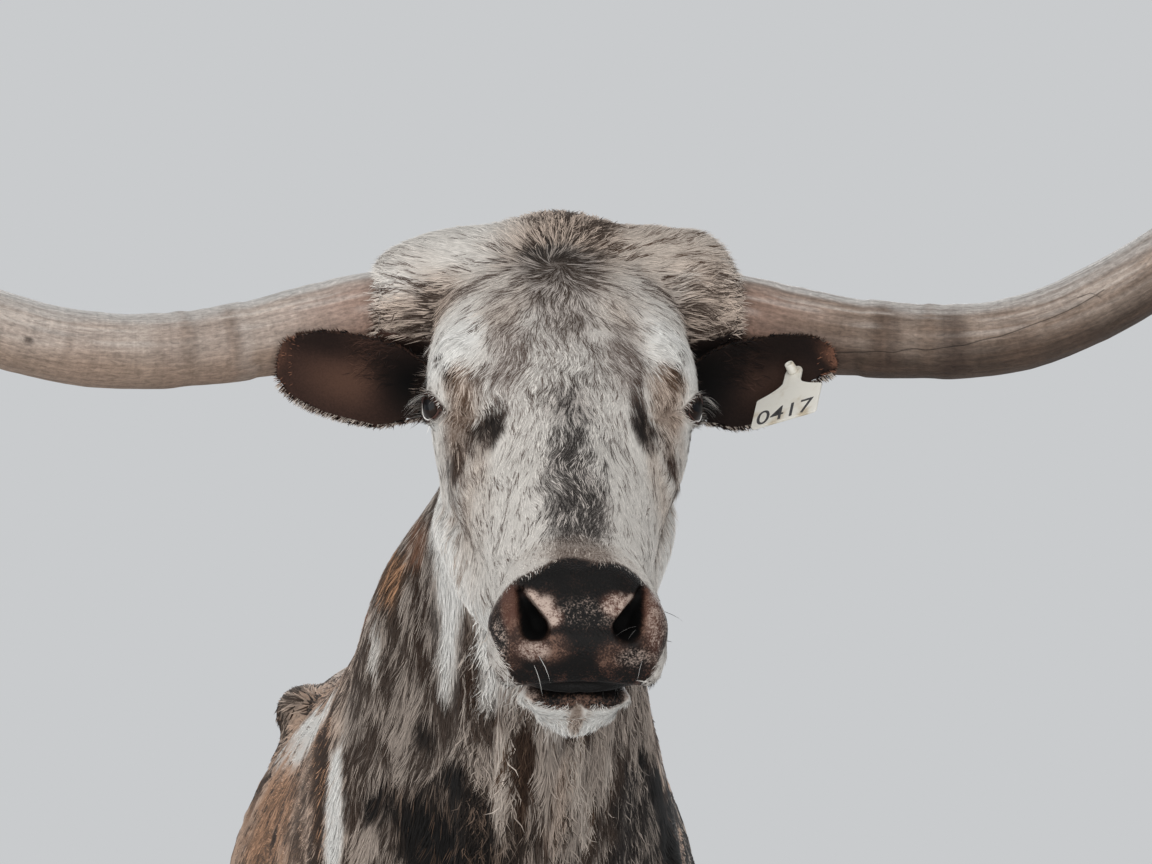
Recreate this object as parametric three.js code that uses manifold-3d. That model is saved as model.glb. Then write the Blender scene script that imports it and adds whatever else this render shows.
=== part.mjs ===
// A standing longhorn steer at life size, made as a still model in named solids.
// Millimetres, +Z up. The animal faces -Y and its left side is towards +X.
// The origin lies on the floor under the middle of the model's bounding box.
//
// Flesh is made whole from tubes that follow the side and front outlines, and is then
// parted with thin plane cuts. Horns, eyes, ears, claws and the ear tag are pieces of their own.

import * as THREE from "three";
import { mergeVertices } from "three/addons/utils/BufferGeometryUtils.js";
import Module from "manifold-3d";

const wasm = await Module();
wasm.setup();

// Driving dimensions
const GAP = 0.3;
const WITHERS_HEIGHT = 1420;
const POLL_HEIGHT = 1668;
const POLL_Y = -1200;
const FACE_PITCH = 43;
const HEAD_TURN = -3;
const NECK_PIVOT_Y = -1050;
const EYE_RADIUS = 19;
const HORN_BASE_X = 155;
const CLAW_HEIGHT = 62;
const BOX_CENTRE_X = -29;
const BOX_CENTRE_Y = -303;

const LEFT = 1;
const RIGHT = -1;
const SIDES = { left: LEFT, right: RIGHT };

// Colours and finishes
const paint = (color, roughness) => new THREE.MeshStandardMaterial({ color, roughness, metalness: 0 });
const ROAN_COAT = paint(0x8d8279, 0.85);
const PALE_FACE = paint(0xc9c4bd, 0.85);
const NOSE_SKIN = paint(0x4a3a34, 0.5);
const EAR_HIDE = paint(0x4b3229, 0.8);
const HORN_SHEATH = paint(0xa39384, 0.45);
const EYE_DARK = paint(0x16100c, 0.08);
const CLAW_HORN = paint(0x3a342f, 0.5);
const TAIL_HAIR = paint(0x6d6259, 0.9);
const TAG_PLASTIC = paint(0xd9d3c4, 0.5);

// Solids and meshes

function solidOf(geometry) {
  const bare = geometry.index ? geometry.clone() : mergeVertices(geometry);
  for (const name of Object.keys(bare.attributes)) {
    if (name !== "position") bare.deleteAttribute(name);
  }
  const merged = mergeVertices(bare, 1e-3);
  const faces = new Uint32Array(merged.index.array);
  const vertProperties = new Float32Array(merged.attributes.position.array);
  const build = (triVerts) => new wasm.Manifold(new wasm.Mesh({ numProp: 3, vertProperties, triVerts }));
  const made = build(faces);
  if (made.volume() > 0) return made;
  for (let i = 0; i < faces.length; i += 3) {
    [faces[i + 1], faces[i + 2]] = [faces[i + 2], faces[i + 1]];
  }
  return build(faces);
}

function geometryOf(solid) {
  const mesh = solid.getMesh();
  const points = new Float32Array(mesh.numVert * 3);
  for (let i = 0; i < mesh.numVert; i++) {
    points.set(mesh.vertProperties.subarray(i * mesh.numProp, i * mesh.numProp + 3), i * 3);
  }
  const geometry = new THREE.BufferGeometry();
  geometry.setAttribute("position", new THREE.BufferAttribute(points, 3));
  geometry.setIndex(new THREE.BufferAttribute(new Uint32Array(mesh.triVerts), 1));
  const flat = geometry.toNonIndexed();
  flat.computeVertexNormals();
  return flat;
}

// The biggest body of a cut solid, without the crumbs that a cut can leave.
function largest(solid) {
  return solid.decompose().reduce((best, one) => (one.volume() > best.volume() ? one : best));
}

function meshOf(name, shape, material) {
  const geometry = shape.isBufferGeometry ? shape : geometryOf(largest(shape));
  const mesh = new THREE.Mesh(geometry, material);
  mesh.name = name;
  return mesh;
}

// A closed tube. point(u, angle) gives the wall from u = 0 to 1.
// Each end closes on the middle of its ring.
function tube(point, rings, sides) {
  const points = [];
  for (let r = 0; r < rings; r++) {
    for (let s = 0; s < sides; s++) {
      points.push(point(r / (rings - 1), (2 * Math.PI * s) / sides));
    }
  }
  const middleOf = (ring) => {
    const middle = new THREE.Vector3();
    for (let s = 0; s < sides; s++) middle.add(points[ring * sides + s]);
    return middle.divideScalar(sides);
  };
  const start = points.push(middleOf(0)) - 1;
  const end = points.push(middleOf(rings - 1)) - 1;
  const faces = [];
  for (let s = 0; s < sides; s++) {
    const next = (s + 1) % sides;
    const last = (rings - 1) * sides;
    faces.push(start, next, s, end, last + s, last + next);
    for (let r = 0; r < rings - 1; r++) {
      const a = r * sides;
      const b = a + sides;
      faces.push(a + s, a + next, b + s, a + next, b + next, b + s);
    }
  }
  const geometry = new THREE.BufferGeometry().setFromPoints(points);
  geometry.setIndex(faces);
  return geometry;
}

// Catmull-Rom between the rows of a table of sizes, with t counted in rows.
function between(rows, t) {
  const last = rows.length - 1;
  const i = Math.min(Math.floor(t), last - 1);
  const f = t - i;
  const row = (k) => rows[Math.max(0, Math.min(last, k))];
  const mix = (name) => {
    const [a, b, c, d] = [row(i - 1)[name], row(i)[name], row(i + 1)[name], row(i + 2)[name]];
    return b + 0.5 * f * (c - a + f * (2 * a - 5 * b + 4 * c - d + f * (3 * (b - c) + d - a)));
  };
  return Object.fromEntries(Object.keys(rows[0]).map((name) => [name, mix(name)]));
}

function table(columns, rows) {
  return rows.map((row) => Object.fromEntries(columns.map((name, k) => [name, row[k]])));
}

const power = (value, exponent) => Math.sign(value) * Math.abs(value) ** exponent;

// A body tube from a table of sections. Each section has a place along the axis, a lowest and a highest
// point across it, the height of its widest place, half its width, and pinches that narrow its top and
// bottom. place(half, along, across) puts a point in space. round is how far each end bulges.
function loft(rows, place, { rings = 24, sides = 24, round = [0, 0], square = 2 } = {}) {
  const capSteps = 2;
  const startSteps = round[0] ? capSteps : 0;
  const endSteps = round[1] ? capSteps : 0;
  const total = rings + startSteps + endSteps;
  const onward = Math.sign(rows.at(-1).along - rows[0].along);
  const wall = (u, angle) => {
    const step = Math.round(u * (total - 1)) - startSteps;
    const inside = Math.max(0, Math.min(rings - 1, step));
    const row = between(rows, (inside / (rings - 1)) * (rows.length - 1));
    const past = step - inside;
    const turn = (Math.abs(past) / (capSteps + 0.25)) * (Math.PI / 2);
    const shrink = Math.cos(turn);
    const bulge = Math.sin(turn) * (past < 0 ? -round[0] : round[1]);
    const along = row.along + onward * bulge;
    const c = power(Math.cos(angle), 2 / (row.square ?? square));
    const s = power(Math.sin(angle), 2 / (row.square ?? square));
    const reach = s > 0 ? row.high - row.mid : row.mid - row.low;
    const pinch = (s > 0 ? row.pinchHigh : row.pinchLow) ?? 0;
    const half = row.half * c * (1 - pinch * s * s);
    return place((row.side ?? 0) + half * shrink, along, row.mid + reach * s * shrink);
  };
  return tube(wall, total, sides);
}

function ball(centre, radii, around = 10, down = 6) {
  return new THREE.SphereGeometry(1, around, down).scale(...radii).translate(...centre);
}

const union = (solids) => solids.reduce((all, one) => all.add(one));

// Keeps what lies on the side of a plane that its normal points to, half a gap clear of it.
function keep(solid, normal, point) {
  const n = new THREE.Vector3(...normal).normalize();
  return solid.trimByPlane(n.toArray(), n.dot(new THREE.Vector3(...point)) + GAP / 2);
}

const drop = (solid, normal, point) => keep(solid, normal.map((value) => -value), point);

// Places in the head. The face line runs from the poll down to the nose. "down" is measured along it,
// "above" square to it, and the whole head is turned a little at the neck.

const pitch = THREE.MathUtils.degToRad(FACE_PITCH);
const headTurn = new THREE.Matrix4()
  .makeTranslation(0, NECK_PIVOT_Y, 0)
  .multiply(new THREE.Matrix4().makeRotationZ(THREE.MathUtils.degToRad(HEAD_TURN)))
  .multiply(new THREE.Matrix4().makeTranslation(0, -NECK_PIVOT_Y, 0));

function inFace(x, down, above) {
  const y = POLL_Y - down * Math.cos(pitch) - above * Math.sin(pitch);
  const z = POLL_HEIGHT - down * Math.sin(pitch) + above * Math.cos(pitch);
  return new THREE.Vector3(x, y, z);
}

const onFace = (x, down, above) => inFace(x, down, above).applyMatrix4(headTurn);
const inHead = (x, y, z) => new THREE.Vector3(x, y, z).applyMatrix4(headTurn);
const onTrunk = (x, along, across) => new THREE.Vector3(x, along, across);

// Neck and trunk: the topline and underline from the throat to the rump, at the widest of each section
const TRUNK = table(
  ["along", "low", "high", "mid", "half", "side", "pinchHigh", "pinchLow"],
  [
    [-1165, 1385, 1580, 1480, 70, 0, 0, 0],
    [-1090, 1290, 1574, 1450, 88, -2, 0, 0.1],
    [-1010, 1180, 1560, 1405, 95, -6, 0, 0.15],
    [-930, 1050, 1540, 1340, 108, -11, 0, 0.2],
    [-850, 890, 1510, 1260, 136, -16, 0, 0.25],
    [-765, 745, 1475, 1150, 164, -19, 0, 0.2],
    [-670, 665, 1440, 1110, 189, -20, 0, 0.15],
    [-550, 637, WITHERS_HEIGHT, 1060, 214, -18, 0, 0.15],
    [-420, 640, 1405, 1020, 236, -14, 0, 0.12],
    [-240, 648, 1388, 1010, 268, -8, 0, 0.05],
    [-60, 650, 1380, 1020, 284, -3, 0, 0],
    [130, 668, 1384, 1015, 286, 0, 0, 0],
    [300, 715, 1396, 1035, 274, 0, 0, 0],
    [440, 775, 1412, 1090, 250, 0, -0.05, 0.05],
    [560, 830, 1418, 1130, 236, 0, -0.12, 0.1],
    [680, 880, 1408, 1130, 217, 0, -0.06, 0.1],
    [790, 935, 1380, 1130, 182, 0, 0, 0.1],
    [860, 1010, 1340, 1150, 135, 0, 0, 0],
  ],
);

// Head, from the poll to the upper lip. Heights are above the face line.
const HEAD = table(
  ["along", "low", "high", "mid", "half", "pinchHigh", "pinchLow", "square"],
  [
    [-8, -160, -22, -80, 80, 0.15, 0.35, 2.3],
    [45, -222, 0, -66, 103, 0.08, 0.4, 2.3],
    [100, -238, 4, -60, 111, 0.06, 0.36, 2.3],
    [150, -240, 3, -60, 114, 0.06, 0.26, 2.3],
    [200, -228, 0, -70, 111, 0.1, 0.16, 2.3],
    [245, -206, -4, -92, 101, 0.2, 0.12, 2.3],
    [290, -180, -7, -100, 88, 0.32, 0.1, 2.3],
    [340, -152, -8, -92, 76, 0.34, 0.1, 2.3],
    [390, -128, -7, -78, 67, 0.28, 0.08, 2.3],
    [435, -108, -5, -68, 63, 0.22, 0, 2.4],
    [475, -97, -6, -62, 65.5, 0.14, -0.1, 2.9],
    [508, -92, -14, -60, 68, 0.08, -0.16, 3.4],
    [528, -86, -28, -58, 62, 0.04, -0.12, 3.2],
  ],
);

// Lower jaw, from under the ear to the chin
const JAW = table(
  ["along", "low", "high", "mid", "half", "pinchHigh", "pinchLow"],
  [
    [130, -236, -110, -170, 80, 0, 0.3],
    [180, -256, -100, -170, 97, 0, 0.34],
    [235, -254, -90, -162, 103, 0, 0.36],
    [290, -238, -80, -154, 97, 0, 0.3],
    [345, -216, -70, -140, 84, 0, 0.3],
    [395, -194, -65, -128, 69, 0, 0.3],
    [445, -174, -70, -120, 53, 0, 0.3],
    [485, -159, -76, -114, 43, 0, 0.3],
    [508, -148, -82, -110, 37, 0, 0.3],
  ],
);

// The crest between the horns, from one horn to the other
const CREST = table(
  ["along", "low", "high", "mid", "half"],
  [
    [-HORN_BASE_X, 1543, 1634, 1590, 46],
    [-HORN_BASE_X + 18, 1541, 1648, 1594, 50],
    [-75, 1545, 1664, 1600, 52],
    [0, 1548, 1680, 1606, 55],
    [75, 1545, 1664, 1600, 52],
    [HORN_BASE_X - 18, 1541, 1646, 1594, 50],
    [HORN_BASE_X, 1543, 1628, 1588, 46],
  ],
);
const CREST_Y = -1186;

// Legs, from inside the body down to the hoof head, as front and back outlines
const FORELEG = table(
  ["along", "low", "high", "mid", "half", "side"],
  [
    [960, -700, -470, -590, 66, 142],
    [860, -700, -440, -570, 72, 152],
    [780, -688, -445, -565, 68, 160],
    [700, -672, -490, -582, 61, 162],
    [610, -661, -522, -592, 53, 161],
    [530, -654, -546, -600, 45, 159],
    [465, -654, -558, -606, 46, 158],
    [420, -658, -556, -607, 49, 157],
    [375, -650, -560, -605, 44, 156],
    [325, -638, -570, -604, 33, 156],
    [225, -634, -574, -604, 29, 156],
    [155, -645, -562, -603, 39, 156],
    [112, -656, -572, -614, 36, 157],
    [80, -672, -568, -620, 46, 157],
    [CLAW_HEIGHT - 20, -680, -566, -623, 48, 157],
  ],
);
const HINDLEG = table(
  ["along", "low", "high", "mid", "half", "side"],
  [
    [1240, 440, 850, 640, 70, 128],
    [1110, 370, 893, 630, 95, 143],
    [985, 342, 897, 620, 102, 153],
    [880, 345, 872, 610, 97, 160],
    [800, 378, 838, 610, 82, 164],
    [725, 438, 806, 625, 66, 163],
    [650, 525, 795, 665, 51, 160],
    [580, 622, 806, 717, 42, 158],
    [522, 680, 838, 758, 39, 157],
    [462, 706, 822, 764, 40, 157],
    [400, 718, 797, 758, 35, 157],
    [320, 716, 784, 750, 30, 157],
    [225, 704, 770, 737, 29, 157],
    [152, 686, 772, 729, 38, 157],
    [110, 664, 752, 708, 35, 157],
    [80, 644, 748, 696, 45, 157],
    [CLAW_HEIGHT - 20, 634, 748, 691, 47, 157],
  ],
);

const ELBOW_HEIGHT = 640;
const STIFLE_HEIGHT = 765;
const KNEE_HEIGHT = 395;
const HOCK_HEIGHT = 480;

// How far each foot stands ahead (-) or behind (+) of the plain stance, so that the animal stands easily
const LEGS = [
  { name: "fore_left", rows: FORELEG, side: LEFT, step: -38, parting: ELBOW_HEIGHT, knee: KNEE_HEIGHT },
  { name: "fore_right", rows: FORELEG, side: RIGHT, step: 30, parting: ELBOW_HEIGHT, knee: KNEE_HEIGHT },
  { name: "hind_left", rows: HINDLEG, side: LEFT, step: 48, parting: STIFLE_HEIGHT, knee: HOCK_HEIGHT },
  { name: "hind_right", rows: HINDLEG, side: RIGHT, step: -42, parting: STIFLE_HEIGHT, knee: HOCK_HEIGHT },
];
const STEP_FROM_HEIGHT = 900;
const stepAt = (leg, z) => leg.step * Math.max(0, 1 - z / STEP_FROM_HEIGHT);

function legSolid(leg) {
  const place = (x, along, across) =>
    new THREE.Vector3(leg.side * x, across + stepAt(leg, along), along);
  return solidOf(loft(leg.rows, place, { rings: 18, sides: 8, square: 2.3, round: [60, 0] }));
}

// A muscle or fold: a tube with round ends that swells in the middle, from one place to another.
function muscle(from, to, [thickStart, thickEnd], flat = 1) {
  const a = new THREE.Vector3(...from);
  const b = new THREE.Vector3(...to);
  const along = b.clone().sub(a).normalize();
  const side = new THREE.Vector3(1, 0, 0).addScaledVector(along, -along.x).normalize();
  const up = new THREE.Vector3().crossVectors(side, along);
  const ends = thickStart / 2;
  const wall = (u, angle) => {
    const reach = Math.sqrt(Math.max(0.004, 1 - (2 * u - 1) ** 4));
    const thick = THREE.MathUtils.lerp(thickStart, thickEnd, u) * reach;
    return a
      .clone()
      .lerp(b, u)
      .addScaledVector(along, ends * (2 * u - 1))
      .addScaledVector(side, Math.cos(angle) * thick * flat)
      .addScaledVector(up, Math.sin(angle) * thick);
  };
  return solidOf(tube(wall, 6, 8));
}

function musclePair(from, to, thick, flat) {
  const mirrored = ([x, y, z]) => [-x, y, z];
  return [muscle(from, to, thick, flat), muscle(mirrored(from), mirrored(to), thick, flat)];
}

// The loose skin under the throat and between the forelegs
const DEWLAP = table(
  ["along", "low", "high", "mid", "half", "pinchLow"],
  [
    [-1120, 1325, 1450, 1390, 26, 0.2],
    [-1040, 1195, 1360, 1290, 25, 0.3],
    [-960, 1045, 1260, 1160, 25, 0.3],
    [-885, 880, 1150, 1010, 27, 0.3],
    [-815, 735, 1000, 870, 32, 0.3],
    [-740, 655, 900, 770, 38, 0.3],
    [-650, 620, 850, 730, 40, 0.2],
    [-560, 618, 800, 710, 30, 0.2],
  ],
);

// The fold of skin under a steer's belly
const SHEATH = table(
  ["along", "low", "high", "mid", "half"],
  [
    [-70, 610, 720, 660, 22],
    [0, 596, 720, 650, 30],
    [90, 606, 720, 655, 28],
    [180, 628, 740, 670, 20],
  ],
);

const EYE_PLACE = { x: 96, down: 196, above: -62 };
const EYE_LOOK = new THREE.Vector3(0.8, -0.6, -0.02).normalize();

function eyeCentre(side) {
  return inFace(side * EYE_PLACE.x, EYE_PLACE.down, EYE_PLACE.above);
}

function eyeball(side, radius) {
  return ball(eyeCentre(side).toArray(), [radius, radius, radius], 11, 7).applyMatrix4(headTurn);
}

function eyeSocket(side) {
  const centre = eyeCentre(side);
  const look = EYE_LOOK.clone().multiply(new THREE.Vector3(side, 1, 1));
  const opening = centre.clone().addScaledVector(look, 15);
  const slit = ball(opening.toArray(), [19, 22, 15]).applyMatrix4(headTurn);
  return union([solidOf(eyeball(side, EYE_RADIUS + GAP)), solidOf(slit)]);
}

function nostril(side) {
  const from = onFace(side * 33, 552, -52).toArray();
  const to = onFace(side * 40, 512, -44).toArray();
  return muscle(from, to, [13, 9], 0.75);
}

function skull() {
  const crest = (half, along, across) => inHead(along, CREST_Y + half, across);
  const parts = [
    solidOf(loft(HEAD, onFace, { rings: 19, sides: 16, round: [26, 16] })),
    solidOf(loft(JAW, onFace, { rings: 9, sides: 12, round: [22, 15] })),
    solidOf(loft(CREST, crest, { rings: 10, sides: 10, square: 2.2 })),
  ];
  for (const side of [LEFT, RIGHT]) {
    const browRidge = inFace(side * 77, 176, -49).toArray();
    parts.push(solidOf(ball(browRidge, [41, 44, 40]).applyMatrix4(headTurn)));
    const wing = inFace(side * 46, 505, -55).toArray();
    parts.push(solidOf(ball(wing, [22, 26, 27]).applyMatrix4(headTurn)));
  }
  const cuts = [eyeSocket(LEFT), eyeSocket(RIGHT), nostril(LEFT), nostril(RIGHT)];
  return union(parts).subtract(union(cuts));
}

function trunkAndLegs() {
  return union([
    solidOf(loft(TRUNK, onTrunk, { rings: 22, sides: 16, round: [20, 34] })),
    solidOf(loft(DEWLAP, onTrunk, { rings: 9, sides: 8, round: [20, 30] })),
    solidOf(loft(SHEATH, onTrunk, { rings: 6, sides: 8, round: [24, 30] })),
    ...musclePair([106, -570, 1310], [130, -722, 1010], [68, 86], 0.68),
    ...musclePair([138, -700, 960], [152, -560, 830], [74, 70], 0.72),
    ...musclePair([146, 560, 1190], [166, 650, 960], [96, 116], 0.66),
    ...[LEFT, RIGHT].map((side) => solidOf(ball([side * 163, 512, 1318], [50, 84, 46]))),
    ...LEGS.map(legSolid),
  ]);
}

// The tail hangs clear behind the rump, and its switch is a full brush of hair.
const TAIL = table(
  ["along", "low", "high", "mid", "half"],
  [
    [1376, 838, 906, 868, 28],
    [1330, 880, 938, 908, 25],
    [1260, 904, 948, 926, 20],
    [1100, 912, 946, 929, 16],
    [900, 914, 940, 927, 12],
    [720, 912, 938, 925, 12],
    [680, 904, 944, 924, 18],
    [600, 890, 958, 924, 32],
    [510, 884, 964, 924, 38],
    [420, 892, 954, 923, 30],
    [345, 912, 934, 923, 11],
  ],
);
const SWITCH_TOP = 700;

// Horns leave the crest sideways, dip, then sweep forward and up. Angles are in degrees at even steps.
const HORN_LENGTH = 930;
const HORN_RADII = [42, 36.5, 34.5, 34, 33.5, 31.5, 28, 23.5, 17.5, 10, 3];
const HORNS = {
  left: {
    side: LEFT,
    rise: [-13, -6, 0.5, 21, 31, 37.5, 42, 46.5, 50.5, 53.5, 55.5],
    forward: [5, 8, 13, 18, 21, 21, 18, 12, 4, -5, -12],
  },
  right: {
    side: RIGHT,
    rise: [-13, -12, -4.5, 9.5, 21, 29.5, 36.5, 43, 48.5, 53, 56],
    forward: [5, 8, 13, 18, 21, 21, 18, 12, 4, -5, -12],
  },
};

function smoothAt(values, u) {
  return between(values.map((value) => ({ value })), u * (values.length - 1)).value;
}

// The horn's centre line, worked out by walking along it in small steps.
function hornLine({ side, rise, forward }) {
  const steps = 60;
  const at = new THREE.Vector3(side * (HORN_BASE_X + GAP), CREST_Y + 6, 1583.5);
  const line = [];
  for (let i = 0; i <= steps; i++) {
    const up = THREE.MathUtils.degToRad(smoothAt(rise, i / steps));
    const ahead = THREE.MathUtils.degToRad(smoothAt(forward, i / steps));
    const way = new THREE.Vector3(
      side * Math.cos(up) * Math.cos(ahead),
      -Math.cos(up) * Math.sin(ahead),
      Math.sin(up),
    );
    line.push({ at: at.clone(), way });
    at.addScaledVector(way, HORN_LENGTH / steps);
  }
  return line;
}

function hornGeometry(horn) {
  const line = hornLine(horn);
  const rings = 17;
  const wall = (u, angle) => {
    const { at, way } = line[Math.round(u * (line.length - 1))];
    const axis = u === 0 ? new THREE.Vector3(horn.side, 0, 0) : way;
    const back = new THREE.Vector3(0, 1, 0).addScaledVector(axis, -axis.y).normalize();
    const up = new THREE.Vector3().crossVectors(axis, back);
    const radius = smoothAt(HORN_RADII, u);
    return at
      .clone()
      .addScaledVector(back, Math.cos(angle) * radius)
      .addScaledVector(up, Math.sin(angle) * radius)
      .applyMatrix4(headTurn);
  };
  const evenRing = (u) => Math.round(u * (rings - 1)) / (rings - 1);
  return tube((u, angle) => wall(evenRing(u), angle), rings, 10);
}

// Ears: a cupped leaf that opens forward, with its base sunk in the side of the head.
// The left ear is torn and has lost the outer half of its lower edge.
const EAR = {
  base: [92, -1196, 1514],
  length: 152,
  way: [0.94, -0.2, 0.17],
  open: [0.12, -0.95, -0.22],
  halfWidth: 41,
  upper: 0.88,
  lower: 1.02,
  cup: 27,
  thick: 8,
  lostEdge: 0.6,
};

function earFrame(side) {
  const flip = new THREE.Vector3(side, 1, 1);
  const way = new THREE.Vector3(...EAR.way).multiply(flip).normalize();
  const open = new THREE.Vector3(...EAR.open).multiply(flip);
  open.addScaledVector(way, -open.dot(way)).normalize();
  const up = new THREE.Vector3().crossVectors(open, way).multiplyScalar(side);
  return { base: new THREE.Vector3(...EAR.base).multiply(flip), way, open, up };
}

// The half width of an ear at u: a narrow neck, a broad middle and a blunt tip.
function earHalf(u) {
  const neck = 0.52 + 0.48 * THREE.MathUtils.smoothstep(u, 0.05, 0.42);
  const tip = Math.sqrt(Math.max(0.02, 1 - Math.max(0, (u - 0.5) / 0.52) ** 2.6));
  return EAR.halfWidth * neck * tip;
}

function earPoint(side, u, across, thickness) {
  const { base, way, open, up } = earFrame(side);
  const half = earHalf(u);
  const depth = EAR.cup * (1.15 - u) * across * across;
  const torn = side === LEFT ? 1 - EAR.lostEdge * THREE.MathUtils.smoothstep(u, 0.5, 0.66) : 1;
  const reach = across < 0 ? EAR.lower * torn : EAR.upper;
  return base
    .clone()
    .addScaledVector(way, EAR.length * u)
    .addScaledVector(up, half * across * reach)
    .addScaledVector(open, depth + thickness);
}

function earGeometry(side) {
  const wall = (u, angle) =>
    earPoint(side, u, Math.cos(angle), (EAR.thick / 2) * Math.sin(angle)).applyMatrix4(headTurn);
  return tube(wall, 10, 12);
}

// Ear tag: a panel on a stud through the left ear. It rests on the lower lobe of the ear, so its foot
// stands forward. across and down are the ways its width and its height run.
const TAG = {
  width: 60,
  panelHeight: 38,
  shoulder: 16,
  neck: 12,
  neckWidth: 15,
  thick: 2,
  clear: 11,
  onEar: { u: 0.75, across: -0.05 },
  pinRadius: 2.6,
  across: [51, -29.5, 16.5],
  down: [-13.5, -44, -48],
};

function tagPanel() {
  const half = TAG.width / 2;
  const neckHalf = TAG.neckWidth / 2;
  const shoulderZ = -TAG.neck;
  const panelTop = shoulderZ - TAG.shoulder;
  const shape = new THREE.Shape();
  shape.moveTo(-half, panelTop - TAG.panelHeight);
  shape.lineTo(half, panelTop - TAG.panelHeight);
  shape.lineTo(half, panelTop);
  shape.quadraticCurveTo(neckHalf + 1, panelTop + TAG.shoulder / 2, neckHalf, shoulderZ);
  shape.lineTo(neckHalf, 0);
  shape.absarc(0, 0, neckHalf, 0, Math.PI, false);
  shape.lineTo(-neckHalf, shoulderZ);
  shape.lineTo(-half, panelTop);
  shape.closePath();
  const hole = new THREE.Path();
  hole.absarc(0, 0, TAG.pinRadius + GAP, 0, 2 * Math.PI, true);
  shape.holes.push(hole);
  return new THREE.ExtrudeGeometry(shape, { depth: TAG.thick, bevelEnabled: false, curveSegments: 5 });
}

function turned(profile, around) {
  const points = profile.map(([r, h]) => new THREE.Vector2(r, h));
  return new THREE.LatheGeometry(points, around).rotateX(Math.PI / 2);
}

// The stud: a short open tube in front of the panel, on a pin that reaches the ear
function tagStud() {
  const front = TAG.thick + GAP;
  const tip = 2 - TAG.clear;
  const profile = [
    [0, tip],
    [TAG.pinRadius, tip],
    [TAG.pinRadius, front],
    [4.6, front],
    [3.8, front + 9],
    [2.2, front + 9],
    [2.2, front + 5],
    [0, front + 5],
  ];
  return turned(profile, 10);
}

// The button: a disc behind the ear, on a pin through it
function tagButton() {
  const back = -EAR.thick / 2 - GAP;
  const profile = [
    [0, back - 3],
    [12, back - 3],
    [13, back],
    [TAG.pinRadius, back],
    [TAG.pinRadius, 5],
    [0, 5],
  ];
  return turned(profile, 10);
}

// A frame at the tag's place on the ear, "clear" ahead of its skin, with its third axis along "out".
function tagFrame(clear, across, out) {
  const place = earPoint(LEFT, TAG.onEar.u, TAG.onEar.across, clear);
  const group = new THREE.Group();
  group.matrixAutoUpdate = false;
  group.matrix.copy(headTurn);
  group.matrix.multiply(new THREE.Matrix4().makeTranslation(place));
  const top = new THREE.Vector3().crossVectors(out, across).normalize();
  const side = new THREE.Vector3().crossVectors(top, out).normalize();
  group.matrix.multiply(new THREE.Matrix4().makeBasis(side, top, out));
  return group;
}

function panelFrame() {
  const across = new THREE.Vector3(...TAG.across).normalize();
  const down = new THREE.Vector3(...TAG.down);
  const out = new THREE.Vector3().crossVectors(down, across).normalize();
  return tagFrame(TAG.clear, across, out);
}

function buttonFrame() {
  const { way, open } = earFrame(LEFT);
  return tagFrame(0, way, open);
}

// Claws: two to a foot, each a half oval with a flat sole, and two small dewclaws behind the pastern
const CLAW = { length: 122, halfWidth: 23, spread: 24.5 };

function clawGeometry(inner) {
  const wall = (u, angle) => {
    const z = u * CLAW_HEIGHT;
    const lean = 30 * u;
    const length = CLAW.length * (1 - 0.2 * u);
    const half = CLAW.halfWidth * (1 - 0.1 * u);
    const c = Math.cos(angle);
    const s = Math.sin(angle);
    const bulge = c * inner > 0 ? 1 : 0.92;
    return new THREE.Vector3(power(c, 0.8) * half * bulge, lean + (power(s, 0.9) * length) / 2, z);
  };
  return tube(wall, 3, 10);
}

function dewclawGeometry() {
  const profile = [[0, -15], [9, -13], [10.5, 0], [0, 12]];
  const points = profile.map(([r, h]) => new THREE.Vector2(r, h));
  return new THREE.LatheGeometry(points, 6).rotateX(Math.PI / 2);
}

function footGroup(leg) {
  const hind = leg.rows === HINDLEG;
  const foot = new THREE.Group();
  const centreY = hind ? 679 : -636;
  foot.position.set(leg.side * 157, centreY + stepAt(leg, 0), 0);
  for (const [name, side] of Object.entries({ outer: leg.side, inner: -leg.side })) {
    const claw = meshOf("claw_" + leg.name + "_" + name, clawGeometry(side), CLAW_HORN);
    claw.position.set(side * CLAW.spread, 0, 0);
    const dewclaw = meshOf("dewclaw_" + leg.name + "_" + name, dewclawGeometry(), CLAW_HORN);
    const back = between(leg.rows, leg.rows.length - 4).high - centreY + stepAt(leg, 125) - stepAt(leg, 0);
    dewclaw.position.set(side * 19, back + 11.5, 124);
    dewclaw.rotation.set(-0.9, 0, 0);
    foot.add(claw, dewclaw);
  }
  return foot;
}

// Parting the flesh
const head = skull();
const flesh = union([head, trunkAndLegs()]);

// The neck is parted behind the ears and the jaw, and again ahead of the shoulders.
const NAPE = { normal: [0, -1, -0.09], point: [0, -1128, 1450] };
const SHOULDER = { normal: [0, -1, 0.36], point: [0, -800, 1200] };
const GIRTH = { normal: [0, -1, 0], point: [0, -330, 0] };
const LOIN = { normal: [0, -1, 0], point: [0, 330, 0] };

const aheadOf = (solid, cut) => keep(solid, cut.normal, cut.point);
const behind = (solid, cut) => drop(solid, cut.normal, cut.point);

const headFlesh = aheadOf(flesh, NAPE);
const mouthFront = onFace(0, 530, -84);
const mouthBack = onFace(0, 400, -122);
const mouthSide = onFace(10, 400, -122);
const mouthPlane = new THREE.Plane().setFromCoplanarPoints(mouthFront, mouthBack, mouthSide);
const mouthNormal = mouthPlane.normal.z > 0 ? mouthPlane.normal : mouthPlane.normal.clone().negate();
const mouth = [mouthNormal.toArray(), mouthFront.toArray()];
const noseFront = onFace(0, 520, 0).sub(onFace(0, 400, 0)).normalize();
const nose = [noseFront.toArray(), onFace(0, 446, 0).toArray()];
const upperHead = keep(headFlesh, ...mouth);

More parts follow.
